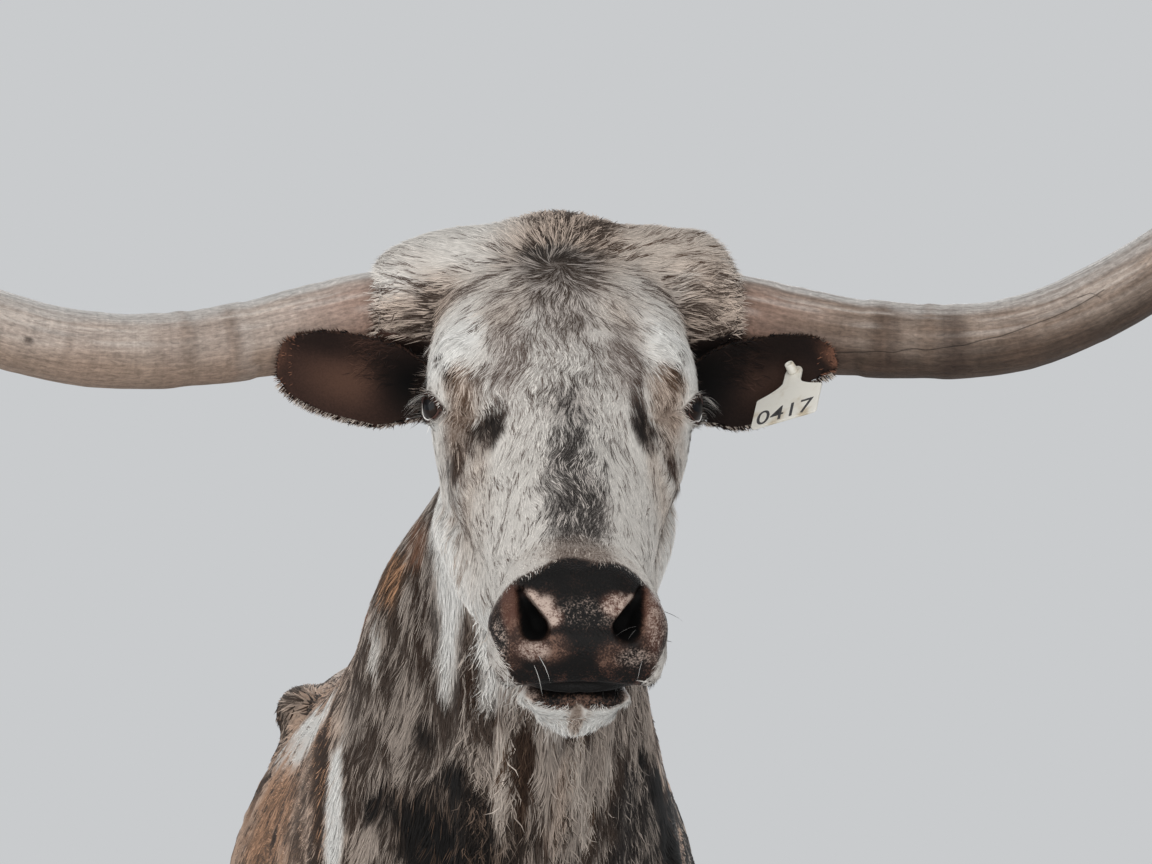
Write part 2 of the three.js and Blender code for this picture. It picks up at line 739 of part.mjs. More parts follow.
const root = new THREE.Group();
const stance = new THREE.Group();
stance.position.set(-BOX_CENTRE_X, -BOX_CENTRE_Y, 0);
root.add(stance);

stance.add(
  meshOf("head", drop(upperHead, ...nose), PALE_FACE),
  meshOf("muzzle", keep(upperHead, ...nose), NOSE_SKIN),
  meshOf("lower_jaw", drop(headFlesh, ...mouth), PALE_FACE),
  meshOf("neck", aheadOf(behind(flesh, NAPE), SHOULDER), ROAN_COAT),
);

const torso = behind(flesh, SHOULDER);
const chest = aheadOf(torso, GIRTH);
const barrel = aheadOf(behind(torso, GIRTH), LOIN);
const rump = behind(torso, LOIN);
const UPRIGHT = [0, 0, 1];

stance.add(
  meshOf("forequarters", keep(chest, UPRIGHT, [0, 0, ELBOW_HEIGHT]), ROAN_COAT),
  meshOf("barrel", barrel, ROAN_COAT),
  meshOf("hindquarters", keep(rump, UPRIGHT, [0, 0, STIFLE_HEIGHT]), ROAN_COAT),
);

for (const leg of LEGS) {
  const quarter = leg.rows === FORELEG ? chest : rump;
  const below = drop(quarter, UPRIGHT, [0, 0, leg.parting]);
  const hanging = keep(below, [leg.side, 0, 0], [leg.side * 45, 0, 0]);
  const upper = keep(hanging, UPRIGHT, [0, 0, leg.knee]);
  const lower = keep(drop(hanging, UPRIGHT, [0, 0, leg.knee]), UPRIGHT, [0, 0, CLAW_HEIGHT]);
  stance.add(
    meshOf("upper_leg_" + leg.name, upper, ROAN_COAT),
    meshOf("lower_leg_" + leg.name, lower, ROAN_COAT),
    footGroup(leg),
  );
}

const tailPlace = (x, along, across) => new THREE.Vector3(x, across, along);
const tail = solidOf(loft(TAIL, tailPlace, { rings: 16, sides: 7, round: [20, 14] }));
const tailClear = tail.subtract(flesh);
stance.add(
  meshOf("tail_dock", keep(tailClear, UPRIGHT, [0, 0, SWITCH_TOP]), ROAN_COAT),
  meshOf("tail_switch", drop(tailClear, UPRIGHT, [0, 0, SWITCH_TOP]), TAIL_HAIR),
);

// Ears, eyes and horns
const headClear = head.add(solidOf(loft(TRUNK, onTrunk, { rings: 22, sides: 16 })));
const panelPlace = panelFrame();
const buttonPlace = buttonFrame();
const holeRadius = TAG.pinRadius + GAP;
const pinHole = (place) =>
  new THREE.CylinderGeometry(holeRadius, holeRadius, 40, 8).rotateX(Math.PI / 2).applyMatrix4(place.matrix);
const pinHoles = [panelPlace, buttonPlace].map((place) => solidOf(pinHole(place)));

for (const [name, side] of Object.entries(SIDES)) {
  const leaf = solidOf(earGeometry(side)).subtract(headClear);
  const ear = side === LEFT ? leaf.subtract(union(pinHoles)) : leaf;
  stance.add(meshOf("ear_" + name, ear, EAR_HIDE));

  stance.add(
    meshOf("eye_" + name, eyeball(side, EYE_RADIUS), EYE_DARK),
    meshOf("horn_" + name, hornGeometry(HORNS[name]), HORN_SHEATH),
  );
}

panelPlace.add(
  meshOf("ear_tag_panel", tagPanel(), TAG_PLASTIC),
  meshOf("ear_tag_stud", tagStud(), TAG_PLASTIC),
);
buttonPlace.add(meshOf("ear_tag_button", tagButton(), TAG_PLASTIC));
stance.add(panelPlace, buttonPlace);

export default root;
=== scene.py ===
"""A life-size longhorn steer: hide, coat, horns, eyes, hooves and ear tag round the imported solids."""

import math

import bmesh
import bpy
import numpy as np
from bpy.props import FloatProperty, PointerProperty
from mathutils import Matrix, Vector


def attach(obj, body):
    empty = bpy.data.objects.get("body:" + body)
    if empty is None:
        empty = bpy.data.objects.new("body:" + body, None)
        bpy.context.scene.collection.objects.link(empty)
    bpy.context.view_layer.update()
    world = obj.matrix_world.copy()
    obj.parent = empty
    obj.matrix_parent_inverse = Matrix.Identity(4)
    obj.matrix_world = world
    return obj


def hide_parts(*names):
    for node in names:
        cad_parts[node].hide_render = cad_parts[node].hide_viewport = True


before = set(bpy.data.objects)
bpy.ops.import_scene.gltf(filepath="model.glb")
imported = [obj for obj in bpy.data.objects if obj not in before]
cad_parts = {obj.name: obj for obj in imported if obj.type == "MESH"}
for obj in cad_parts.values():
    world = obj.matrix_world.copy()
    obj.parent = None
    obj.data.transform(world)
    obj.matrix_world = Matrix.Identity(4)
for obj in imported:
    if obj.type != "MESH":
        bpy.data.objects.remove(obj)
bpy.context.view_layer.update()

bl_info = {
    "name": "Longhorn Steer",
    "version": (1, 0, 0),
    "blender": (4, 5, 0),
    "location": "View3D > Sidebar > Longhorn",
    "description": "Builds the hide, coat, horns, eyes, hooves and ear tag of a standing longhorn steer",
    "category": "Add Mesh",
}

# The stance. Tables are in millimetres, in the animal's own frame, which STANCE moves to the row frame.
MM = 0.001
STANCE = np.array([0.029, 0.303, 0.0])
WITHERS_HEIGHT = 1420.0
POLL_HEIGHT = 1668.0
POLL_Y = -1200.0
FACE_PITCH = math.radians(43)
HEAD_TURN = math.radians(-3)
NECK_PIVOT_Y = -1050.0
NECK_JOIN_Y = -1035.0
CREST_Y = -1186.0
LEFT, RIGHT = 1, -1
SIDES = {"left": (LEFT,), "right": (RIGHT,), "both": (LEFT, RIGHT), "one": (LEFT,)}
SEED = 417


# Colours

def linear(colour):
    """An sRGB hex string, or three sRGB numbers, as linear numbers: the standard curve, undone."""
    if isinstance(colour, str):
        colour = [int(colour[i:i + 2], 16) / 255 for i in (1, 3, 5)]
    c = np.asarray(colour, float)
    return np.where(c <= 0.04045, c / 12.92, ((c + 0.055) / 1.055) ** 2.4)


def rgba(colour):
    return (*linear(colour), 1.0)


# Numbers worked out as whole arrays

def ease(low, high, value):
    """0 below low, 1 above high and smooth between: 3t^2 - 2t^3."""
    t = np.clip((value - low) / (high - low), 0, 1)
    return t * t * (3 - 2 * t)


def unit(v):
    """Vectors made 1 long."""
    return v / np.maximum(np.linalg.norm(v, axis=-1, keepdims=True), 1e-12)


def power(value, exponent):
    """A power that keeps the sign of its value."""
    return np.sign(value) * np.abs(value) ** exponent


def bump(distance):
    """A round-topped bump: (1 - d^2)^2 inside 1."""
    return np.clip(1 - distance ** 2, 0, 1) ** 2


def oval(points, centre, radii):
    """How far out each point is in an oval: 0 at its centre and 1 at its edge."""
    return np.linalg.norm((points - centre) / radii, axis=1)


def turns(count):
    """Angles at even steps round a circle."""
    return np.arange(count) / count * 2 * math.pi


def noise(points, size, seed=0):
    """Value noise from -1 to 1: a random number at each corner of cubes of one size, eased in between."""
    q = points / size
    cell = np.floor(q).astype(np.int64)
    f = q - cell
    f = f * f * (3 - 2 * f)
    total = np.zeros(len(points))
    for corner in np.ndindex(2, 2, 2):
        at = cell + corner
        key = (at[:, 0] * 73856093) ^ (at[:, 1] * 19349663) ^ (at[:, 2] * 83492791) ^ (seed * 2654435761)
        key = (key ^ (key >> 13)) * 1274126177 & 0x7FFFFFFF
        key = (key ^ (key >> 15)) & 0xFFFF
        share = np.where(corner, f, 1 - f).prod(axis=1)
        total += share * key
    return total / 32767.5 - 1


def between(rows, t):
    """Catmull-Rom between the rows of a table, with t counted in rows."""
    last = len(rows) - 1
    i = np.minimum(np.floor(t).astype(int), last - 1)
    f = (t - i)[:, None]
    a, b, c, d = (rows[np.clip(i + k, 0, last)] for k in (-1, 0, 1, 2))
    return b + 0.5 * f * (c - a + f * (2 * a - 5 * b + 4 * c - d + f * (3 * (b - c) + d - a)))


COLUMNS = ("along", "low", "high", "mid", "half", "side", "pinch_high", "pinch_low", "square")


def table(names, rows, square=2.0):
    """A table of sections. Columns that a table leaves out are 0. Its squareness is the same all along."""
    full = np.zeros((len(rows), len(COLUMNS)))
    full[:, COLUMNS.index("square")] = square
    for name, column in zip(names.split(), np.array(rows, float).T):
        full[:, COLUMNS.index(name)] = column
    return full


def tube_faces(rings, sides):
    """Quads round a tube of rings, and a fan of triangles at each end round its own middle point."""
    ring, side = np.meshgrid(np.arange(rings - 1), np.arange(sides), indexing="ij")
    a = (ring * sides + side).ravel()
    b = (ring * sides + (side + 1) % sides).ravel()
    quads = np.stack([a, b, b + sides, a + sides], axis=1)
    s = np.arange(sides)
    n = (s + 1) % sides
    start, end = rings * sides, rings * sides + 1
    last = (rings - 1) * sides
    caps = np.concatenate([
        np.stack([np.full(sides, start), n, s], axis=1),
        np.stack([np.full(sides, end), last + s, last + n], axis=1),
    ])
    return quads, caps


def tube(grid):
    """A closed tube from a grid of points, rings by sides: the ends close on the middles of their rings."""
    rings, sides = grid.shape[:2]
    ends = np.stack([grid[0].mean(axis=0), grid[-1].mean(axis=0)])
    points = np.concatenate([grid.reshape(-1, 3), ends])
    quads, caps = tube_faces(rings, sides)
    return points, [quads, caps]


def loft(rows, place, rings, sides, ends=(0, 0)):
    """A body tube: a squared oval |c|^n + |s|^n = 1 through each section, pinched by 1 - p s^2, with its
    ends rounded by cosine steps. place(side, along, across) puts it in space."""
    cap = 9
    before, after = (cap if end else 0 for end in ends)
    step = np.arange(rings + before + after) - before
    inside = np.clip(step, 0, rings - 1)
    row = between(rows, inside / (rings - 1) * (len(rows) - 1))
    along, low, high, mid, half, side, pinch_high, pinch_low, square = (row[:, k:k + 1] for k in range(9))
    past = (step - inside)[:, None]
    turn = np.abs(past) / (cap + 0.25) * math.pi / 2
    shrink = np.cos(turn)
    onward = np.sign(rows[-1, 0] - rows[0, 0])
    along = along + onward * np.sin(turn) * np.where(past < 0, -ends[0], ends[1])
    angle = turns(sides)
    c = power(np.cos(angle), 2 / square)
    s = power(np.sin(angle), 2 / square)
    reach = np.where(s > 0, high - mid, mid - low)
    pinch = np.where(s > 0, pinch_high, pinch_low)
    wide = side + half * c * (1 - pinch * s * s) * shrink
    return tube(place(wide, along + 0 * c, mid + reach * s * shrink))


def ball(centre, radii, place, around=48, down=24):
    """An ellipsoid: the sphere (sin a cos b, sin a sin b, cos a), stretched."""
    a = np.linspace(0.06, math.pi - 0.06, down)[:, None]
    b = turns(around)
    x = centre[0] + radii[0] * np.sin(a) * np.cos(b)
    y = centre[1] + radii[1] * np.sin(a) * np.sin(b)
    z = centre[2] + radii[2] * np.cos(a) + 0 * b
    return tube(place(x, y, z))


def muscle(start, end, thick_start, thick_end, flat, place):
    """A tube with round ends that swells in the middle: radius sqrt(1 - (2u - 1)^4) times its thickness."""
    a, b = np.array(start, float), np.array(end, float)
    along = unit(b - a)
    side = unit(np.array([1.0, 0, 0]) - along * along[0])
    up = np.cross(side, along)
    u = np.linspace(0, 1, 28)[:, None, None]
    angle = turns(36)[None, :, None]
    thick = (thick_start + (thick_end - thick_start) * u) * np.sqrt(np.maximum(0.004, 1 - (2 * u - 1) ** 4))
    line = a + (b - a) * u + along * thick_start / 2 * (2 * u - 1)
    p = line + side * np.cos(angle) * thick * flat + up * np.sin(angle) * thick
    return tube(place(p[..., 0], p[..., 1], p[..., 2]))


# Places

def on_body(x, y, z):
    """The animal's own millimetres to the row frame's metres."""
    return np.stack(np.broadcast_arrays(x, y, z), axis=-1) * MM + STANCE


def in_head(x, y, z):
    """A place in the head before it turns at the neck, in the animal's own millimetres."""
    c, s = math.cos(HEAD_TURN), math.sin(HEAD_TURN)
    y = y - NECK_PIVOT_Y
    return on_body(c * x - s * y, NECK_PIVOT_Y + s * x + c * y, z + 0 * x)


def on_face(x, down, above):
    """A place by the face line: down along it from the poll to the nose, above square to it."""
    y = POLL_Y - down * math.cos(FACE_PITCH) - above * math.sin(FACE_PITCH)
    z = POLL_HEIGHT - down * math.sin(FACE_PITCH) + above * math.cos(FACE_PITCH)
    return in_head(x + 0 * y, y, z)


def unturned(points):
    """The row frame's metres to the unturned head's millimetres: in_head undone."""
    p = (points - STANCE) / MM
    c, s = math.cos(HEAD_TURN), math.sin(HEAD_TURN)
    x, y = p[..., 0], p[..., 1] - NECK_PIVOT_Y
    return np.stack([c * x + s * y, NECK_PIVOT_Y - s * x + c * y, p[..., 2]], axis=-1)


def by_face(points):
    """The row frame's metres to (x, down, above) in millimetres: on_face undone."""
    p = unturned(points)
    y, z = p[..., 1] - POLL_Y, p[..., 2] - POLL_HEIGHT
    down = -y * math.cos(FACE_PITCH) - z * math.sin(FACE_PITCH)
    above = -y * math.sin(FACE_PITCH) + z * math.cos(FACE_PITCH)
    return np.stack([p[..., 0], down, above], axis=-1)


def head_turned(way):
    """A direction in the unturned head, as it lies in the row frame."""
    c, s = math.cos(HEAD_TURN), math.sin(HEAD_TURN)
    return np.array([way[0] * c - way[1] * s, way[0] * s + way[1] * c, way[2]])


def face_way(x, down, above):
    """A direction given by the face line, in the row frame."""
    return unit(on_face(x, down, above) - on_face(0, 0, 0))


def own(points):
    """The row frame's metres to the animal's own millimetres."""
    return (points - STANCE) / MM


# Sections of the flesh, as in the solids

TRUNK = table("along low high mid half side pinch_high pinch_low", [
    [-1165, 1385, 1580, 1480, 70, 0, 0, 0],
    [-1090, 1290, 1574, 1450, 88, -2, 0, 0.1],
    [-1010, 1180, 1560, 1405, 95, -6, 0, 0.15],
    [-930, 1050, 1540, 1340, 108, -11, 0, 0.2],
    [-850, 890, 1510, 1260, 136, -16, 0, 0.25],
    [-765, 745, 1475, 1150, 164, -19, 0, 0.2],
    [-670, 665, 1440, 1110, 189, -20, 0, 0.15],
    [-550, 637, WITHERS_HEIGHT, 1060, 214, -18, 0, 0.15],
    [-420, 640, 1405, 1020, 236, -14, 0, 0.12],
    [-240, 648, 1388, 1010, 268, -8, 0, 0.05],
    [-60, 650, 1380, 1020, 284, -3, 0, 0],
    [130, 668, 1384, 1015, 286, 0, 0, 0],
    [300, 715, 1396, 1035, 274, 0, 0, 0],
    [440, 775, 1412, 1090, 250, 0, -0.05, 0.05],
    [560, 830, 1418, 1130, 236, 0, -0.12, 0.1],
    [680, 880, 1408, 1130, 217, 0, -0.06, 0.1],
    [790, 935, 1380, 1130, 182, 0, 0, 0.1],
    [860, 1010, 1340, 1150, 135, 0, 0, 0],
])
FRONT_ROWS = 4
HEAD = table("along low high mid half pinch_high pinch_low square", [
    [-8, -160, -22, -80, 80, 0.15, 0.35, 2.3],
    [45, -222, 0, -66, 103, 0.08, 0.4, 2.3],
    [100, -238, 4, -60, 111, 0.06, 0.36, 2.3],
    [150, -240, 3, -60, 114, 0.06, 0.26, 2.3],
    [200, -228, 0, -70, 111, 0.1, 0.16, 2.3],
    [245, -206, -4, -92, 101, 0.2, 0.12, 2.3],
    [290, -180, -7, -100, 88, 0.32, 0.1, 2.3],
    [340, -152, -8, -92, 76, 0.34, 0.1, 2.3],
    [390, -128, -7, -78, 67, 0.28, 0.08, 2.3],
    [435, -108, -5, -68, 63, 0.22, 0, 2.4],
    [475, -97, -6, -62, 65.5, 0.14, -0.1, 2.9],
    [508, -92, -14, -60, 68, 0.08, -0.16, 3.4],
    [528, -86, -28, -58, 62, 0.04, -0.12, 3.2],
])
JAW = table("along low high mid half pinch_high pinch_low", [
    [130, -236, -110, -170, 80, 0, 0.3],
    [180, -256, -100, -170, 97, 0, 0.34],
    [235, -254, -90, -162, 103, 0, 0.36],
    [290, -238, -80, -154, 97, 0, 0.3],
    [345, -216, -70, -140, 84, 0, 0.3],
    [395, -194, -65, -128, 69, 0, 0.3],
    [445, -174, -70, -120, 53, 0, 0.3],
    [485, -159, -76, -114, 43, 0, 0.3],
    [508, -148, -82, -110, 37, 0, 0.3],
])
HORN_BASE_X = 155
CREST = table("along low high mid half", [
    [-HORN_BASE_X, 1543, 1634, 1590, 46],
    [-HORN_BASE_X + 18, 1541, 1648, 1594, 50],
    [-75, 1545, 1664, 1600, 52],
    [0, 1548, 1680, 1606, 55],
    [75, 1545, 1664, 1600, 52],
    [HORN_BASE_X - 18, 1541, 1646, 1594, 50],
    [HORN_BASE_X, 1543, 1628, 1588, 46],
], square=2.2)
HOOF_HEAD = 62
FORELEG = table("along low high mid half side", [
    [960, -700, -470, -590, 66, 142],
    [860, -700, -440, -570, 72, 152],
    [780, -688, -445, -565, 68, 160],
    [700, -672, -490, -582, 61, 162],
    [610, -661, -522, -592, 53, 161],
    [530, -654, -546, -600, 45, 159],
    [465, -654, -558, -606, 46, 158],
    [420, -658, -556, -607, 49, 157],
    [375, -650, -560, -605, 44, 156],
    [325, -638, -570, -604, 33, 156],
    [225, -634, -574, -604, 29, 156],
    [155, -645, -562, -603, 39, 156],
    [112, -656, -572, -614, 36, 157],
    [80, -672, -568, -620, 46, 157],
    [HOOF_HEAD - 8, -680, -566, -623, 46, 157],
], square=2.3)
HINDLEG = table("along low high mid half side", [
    [1240, 440, 850, 640, 70, 128],
    [1110, 370, 893, 630, 95, 143],
    [985, 342, 897, 620, 102, 153],
    [880, 345, 872, 610, 97, 160],
    [800, 378, 838, 610, 82, 164],
    [725, 438, 806, 625, 66, 163],
    [650, 525, 795, 665, 51, 160],
    [580, 622, 806, 717, 42, 158],
    [522, 680, 838, 758, 39, 157],
    [462, 706, 822, 764, 40, 157],
    [400, 718, 797, 758, 35, 157],
    [320, 716, 784, 750, 30, 157],
    [225, 704, 770, 737, 29, 157],
    [152, 686, 772, 729, 38, 157],
    [110, 664, 752, 708, 35, 157],
    [80, 644, 748, 696, 45, 157],
    [HOOF_HEAD - 8, 634, 748, 691, 46, 157],
], square=2.3)
STEP_FROM_HEIGHT = 900.0
CANNON_Y = {"fore": -604.0, "hind": 743.0}
FOOT_X = 157.0
LEGS = {
    "fore_left": (FORELEG, LEFT, -38),
    "fore_right": (FORELEG, RIGHT, 30),
    "hind_left": (HINDLEG, LEFT, 48),
    "hind_right": (HINDLEG, RIGHT, -42),
}
DEWLAP = table("along low high mid half pinch_low", [
    [-1120, 1325, 1450, 1390, 26, 0.2],
    [-1040, 1195, 1360, 1290, 25, 0.3],
    [-960, 1045, 1260, 1160, 25, 0.3],
    [-885, 880, 1150, 1010, 27, 0.3],
    [-815, 735, 1000, 870, 32, 0.3],
    [-740, 655, 900, 770, 38, 0.3],
    [-650, 620, 850, 730, 40, 0.2],
    [-560, 618, 800, 710, 30, 0.2],
])
SHEATH = table("along low high mid half", [
    [-70, 634, 720, 672, 20],
    [0, 606, 720, 655, 28],
    [90, 612, 720, 660, 27],
    [180, 650, 740, 690, 19],
])
TAIL_CORE = table("along low high mid half", [
    [1376, 838, 906, 868, 28],
    [1330, 880, 938, 908, 25],
    [1260, 904, 948, 926, 20],
    [1100, 912, 946, 929, 16],
    [900, 914, 940, 927, 13],
    [720, 913, 939, 926, 13],
    [600, 914, 936, 925, 11],
    [480, 916, 934, 925, 9],
])
SWITCH_TOP = 700.0
SWITCH_END = 340.0

EYE_RADIUS = 19.0
EYE_PLACE = (96.0, 196.0, -62.0)
EYE_LOOK = unit(np.array([0.8, -0.6, -0.02]))

EAR_BASE = np.array([92.0, -1196, 1514])
EAR_WAY = np.array([0.94, -0.2, 0.17])
EAR_OPEN = np.array([0.12, -0.95, -0.22])
EAR_LENGTH = 152.0
EAR_HALF = 41.0
EAR_UPPER, EAR_LOWER = 0.88, 1.02
EAR_CUP = 27.0
EAR_THICK = 7.0
EAR_LOST_EDGE = 0.6

HORN_LENGTH = 930.0
HORN_RADII = [42, 36.5, 34.5, 34, 33.5, 31.5, 28, 23.5, 17.5, 10, 3]
HORN_FORWARD = [5, 8, 13, 18, 21, 21, 18, 12, 4, -5, -12]
HORN_RISE = {
    LEFT: [-13, -6, 0.5, 21, 31, 37.5, 42, 46.5, 50.5, 53.5, 55.5],
    RIGHT: [-13, -12, -4.5, 9.5, 21, 29.5, 36.5, 43, 48.5, 53, 56],
}


# Meshes

def new_object(name, data):
    """An object at the origin, in the scene."""
    made = bpy.data.objects.new(name, data)
    bpy.context.collection.objects.link(made)
    return made


def applied(work):
    """The mesh of an object with its modifiers applied. The object itself is removed."""
    mesh = bpy.data.meshes.new_from_object(work.evaluated_get(bpy.context.evaluated_depsgraph_get()))
    bpy.data.objects.remove(work)
    return mesh


def new_piece(name, points, faces, smooth=True):
    """An object at the origin whose mesh holds the points, with faces given as arrays of equal corners."""
    mesh = bpy.data.meshes.new(name)
    corners = np.concatenate([f.ravel() for f in faces]).astype(np.int32)
    sizes = np.concatenate([np.full(len(f), f.shape[1]) for f in faces])
    mesh.vertices.add(len(points))
    mesh.vertices.foreach_set("co", np.ascontiguousarray(points, np.float32).ravel())
    mesh.loops.add(len(corners))
    mesh.loops.foreach_set("vertex_index", corners)
    mesh.polygons.add(len(sizes))
    mesh.polygons.foreach_set("loop_start", np.concatenate([[0], np.cumsum(sizes)[:-1]]).astype(np.int32))
    mesh.update(calc_edges=True)
    mesh.polygons.foreach_set("use_smooth", np.full(len(sizes), smooth))
    return new_object(name, mesh)


def gather(shells):
    """Several (points, faces) as one."""
    points, quads, tris, at = [], [], [], 0
    for shell_points, faces in shells:
        for f in faces:
            (quads if f.shape[1] == 4 else tris).append(f + at)
        points.append(shell_points)
        at += len(shell_points)
    return np.concatenate(points), [np.concatenate(group) for group in (quads, tris) if group]


def outward(points, faces):
    """The faces of a closed shell, turned round if its volume comes out negative."""
    volume = 0.0
    for f in faces:
        a, b = points[f[:, 0]], points[f[:, 1]]
        for k in range(2, f.shape[1]):
            c = points[f[:, k]]
            volume += np.einsum("ij,ij->", a, np.cross(b, c))
            b = c
    return faces if volume > 0 else [f[:, ::-1] for f in faces]


def write_points(mesh, points):
    """Moves a mesh's points."""
    mesh.vertices.foreach_set("co", points.astype(np.float32).ravel())
    mesh.update()


def read_points(mesh):
    """A mesh's points, a row for each."""
    co = np.empty(len(mesh.vertices) * 3, np.float32)
    mesh.vertices.foreach_get("co", co)
    return co.reshape(-1, 3).astype(float)


def read_edges(mesh):
    """The two points of each edge."""
    edges = np.empty(len(mesh.edges) * 2, np.int32)
    mesh.edges.foreach_get("vertices", edges)
    return edges.reshape(-1, 2)


def read_triangles(mesh):
    """The three points of each triangle."""
    mesh.calc_loop_triangles()
    tris = np.empty(len(mesh.loop_triangles) * 3, np.int32)
    mesh.loop_triangles.foreach_get("vertices", tris)
    return tris.reshape(-1, 3)


def normals_of(points, tris):
    """Each point's normal: the sum of its triangles' normals, weighted by their areas."""
    a, b, c = (points[tris[:, k]] for k in range(3))
    n = np.cross(b - a, c - a)
    total = np.stack([
        np.bincount(tris.ravel(), np.repeat(n[:, k], 3), len(points)) for k in range(3)], axis=1)
    return unit(total)


def relax(points, edges, rounds, weight=1.0, keep_size=True):
    """Smooths: each round moves a point towards the middle of its neighbours, and then back out by a
    little more than it shrank, so that thin parts keep their thickness."""
    count = len(points)
    degree = np.maximum(np.bincount(edges.ravel(), minlength=count), 1)[:, None]
    weight = np.broadcast_to(weight, (count,))[:, None]
    for step in range(rounds * (2 if keep_size else 1)):
        factor = 0.55 if step % 2 == 0 or not keep_size else -0.57
        total = np.stack([
            np.bincount(edges[:, 0], points[edges[:, 1], k], count)
            + np.bincount(edges[:, 1], points[edges[:, 0], k], count) for k in range(3)], axis=1)
        points = points + weight * factor * (total / degree - points)
    return points


def set_colour(mesh, name, values):
    """Gives a mesh a linear colour at each point."""
    rows = np.ones((len(values), 4), np.float32)
    rows[:, :3] = values
    mesh.attributes.new(name, "FLOAT_COLOR", "POINT").data.foreach_set("color", rows.ravel())


def set_value(mesh, name, values):
    """Gives a mesh a number at each point."""
    mesh.attributes.new(name, "FLOAT", "POINT").data.foreach_set("value", values.astype(np.float32))


def set_uv(mesh, name, values):
    """Gives a mesh a UV map from a place for each point."""
    corners = np.empty(len(mesh.loops), np.int32)
    mesh.loops.foreach_get("vertex_index", corners)
    layer = mesh.uv_layers.new(name=name)
    layer.uv.foreach_set("vector", values[corners].astype(np.float32).ravel())


def finish_piece(piece, material, slot, *nodes):
    """Gives a piece its material and its place in the frame."""
    if material:
        piece.data.materials.append(material)
    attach(piece, "root")
    if nodes:
        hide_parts(*nodes)
    return piece


# Ears

def ear_frame(side):
    """An ear's base and its ways along, out of its opening and up, in the unturned head."""
    flip = np.array([side, 1, 1])
    way = unit(EAR_WAY * flip)
    opening = EAR_OPEN * flip
    opening = unit(opening - way * (opening @ way))
    up = np.cross(opening, way) * side
    return EAR_BASE * flip, way, opening, up


def ear_point(side, u, across, out):
    """The ear's leaf: u along it, across from -1 at its lower edge to 1, out from its middle, cupped by
    the square of across. The left ear has lost the outer half of its lower edge."""
    base, way, opening, up = ear_frame(side)
    neck = 0.52 + 0.48 * ease(0.05, 0.42, u)
    tip = np.sqrt(np.maximum(0.02, 1 - np.maximum(0, (u - 0.5) / 0.52) ** 2.6))
    torn = 1 - EAR_LOST_EDGE * ease(0.5, 0.66, u) if side == LEFT else 1.0
    reach = np.where(across < 0, EAR_LOWER * torn, EAR_UPPER)
    depth = EAR_CUP * (1.15 - u) * across * across + out
    p = (base + way * (EAR_LENGTH * u)[..., None] + up * (EAR_HALF * neck * tip * across * reach)[..., None]
         + opening * depth[..., None])
    return in_head(p[..., 0], p[..., 1], p[..., 2])


def by_ear(points, side):
    """A point's place on an ear: along 0 to 1, height over its middle line and depth towards its opening."""
    base, way, opening, up = ear_frame(side)
    p = unturned(points) - base
    return p @ way / EAR_LENGTH, p @ up, p @ opening


def ear_shell(side):
    """The ear as a thin closed tube, flat and cupped."""
    u = np.linspace(0.0, 1.0, 60)[:, None]
    angle = turns(72)[None, :]
    thin = EAR_THICK * (1 - 0.25 * u)
    return tube(ear_point(side, u + 0 * angle, np.cos(angle) + 0 * u, thin / 2 * power(np.sin(angle), 0.5)))


# The hide

def leg_shell(rows, side, step):
    """A leg that steps forward or back, more towards the foot."""
    def place(x, along, across):
        return on_body(side * x, across + step * np.maximum(0, 1 - along / STEP_FROM_HEIGHT), along)
    points, faces = loft(rows, place, 150, 56, (60, 0))
    return points, [f[:, ::-1] for f in faces] if side == RIGHT else faces


def trunk_place(x, along, across):
    return on_body(x, along, across)


def head_shells():
    """The shells of neck top, head, jaw, horn crest and ears, with the brows and the nostril wings."""
    def crest(half, along, across):
        return in_head(along, CREST_Y + half, across)
    shells = [
        loft(TRUNK[:FRONT_ROWS], trunk_place, 60, 120, (20, 0)),
        loft(DEWLAP[:3], trunk_place, 50, 40, (20, 0)),
        loft(HEAD, on_face, 220, 144, (26, 16)),
        loft(JAW, on_face, 150, 96, (22, 15)),
        loft(CREST, crest, 120, 72),
        ear_shell(LEFT),
        ear_shell(RIGHT),
    ]
    for side in (LEFT, RIGHT):
        shells.append(ball((side * 77, 176, -49), (41, 44, 40), on_face))
        shells.append(ball((side * 46, 505, -55), (22, 26, 27), on_face))
    return shells


def body_shells():
    """The shells of trunk, dewlap, sheath, tail and legs, with shoulders, thighs and hips."""
    def tail_place(x, along, across):
        return on_body(x, across, along)
    shells = [
        loft(TRUNK, trunk_place, 220, 120, (20, 34)),
        loft(DEWLAP, trunk_place, 90, 40, (20, 30)),
        loft(SHEATH, trunk_place, 40, 30, (24, 30)),
        loft(TAIL_CORE, tail_place, 140, 28, (20, 10)),
    ]
    for side in (LEFT, RIGHT):
        shells.append(muscle((side * 106, -570, 1310), (side * 130, -722, 1010), 68, 86, 0.68, on_body))
        shells.append(muscle((side * 138, -700, 960), (side * 152, -560, 830), 74, 70, 0.72, on_body))
        shells.append(muscle((side * 146, 560, 1190), (side * 166, 650, 960), 96, 116, 0.66, on_body))
        shells.append(ball((side * 163, 512, 1318), (50, 84, 46), on_body))
    for rows, side, step in LEGS.values():
        shells.append(leg_shell(rows, side, step))
    return shells


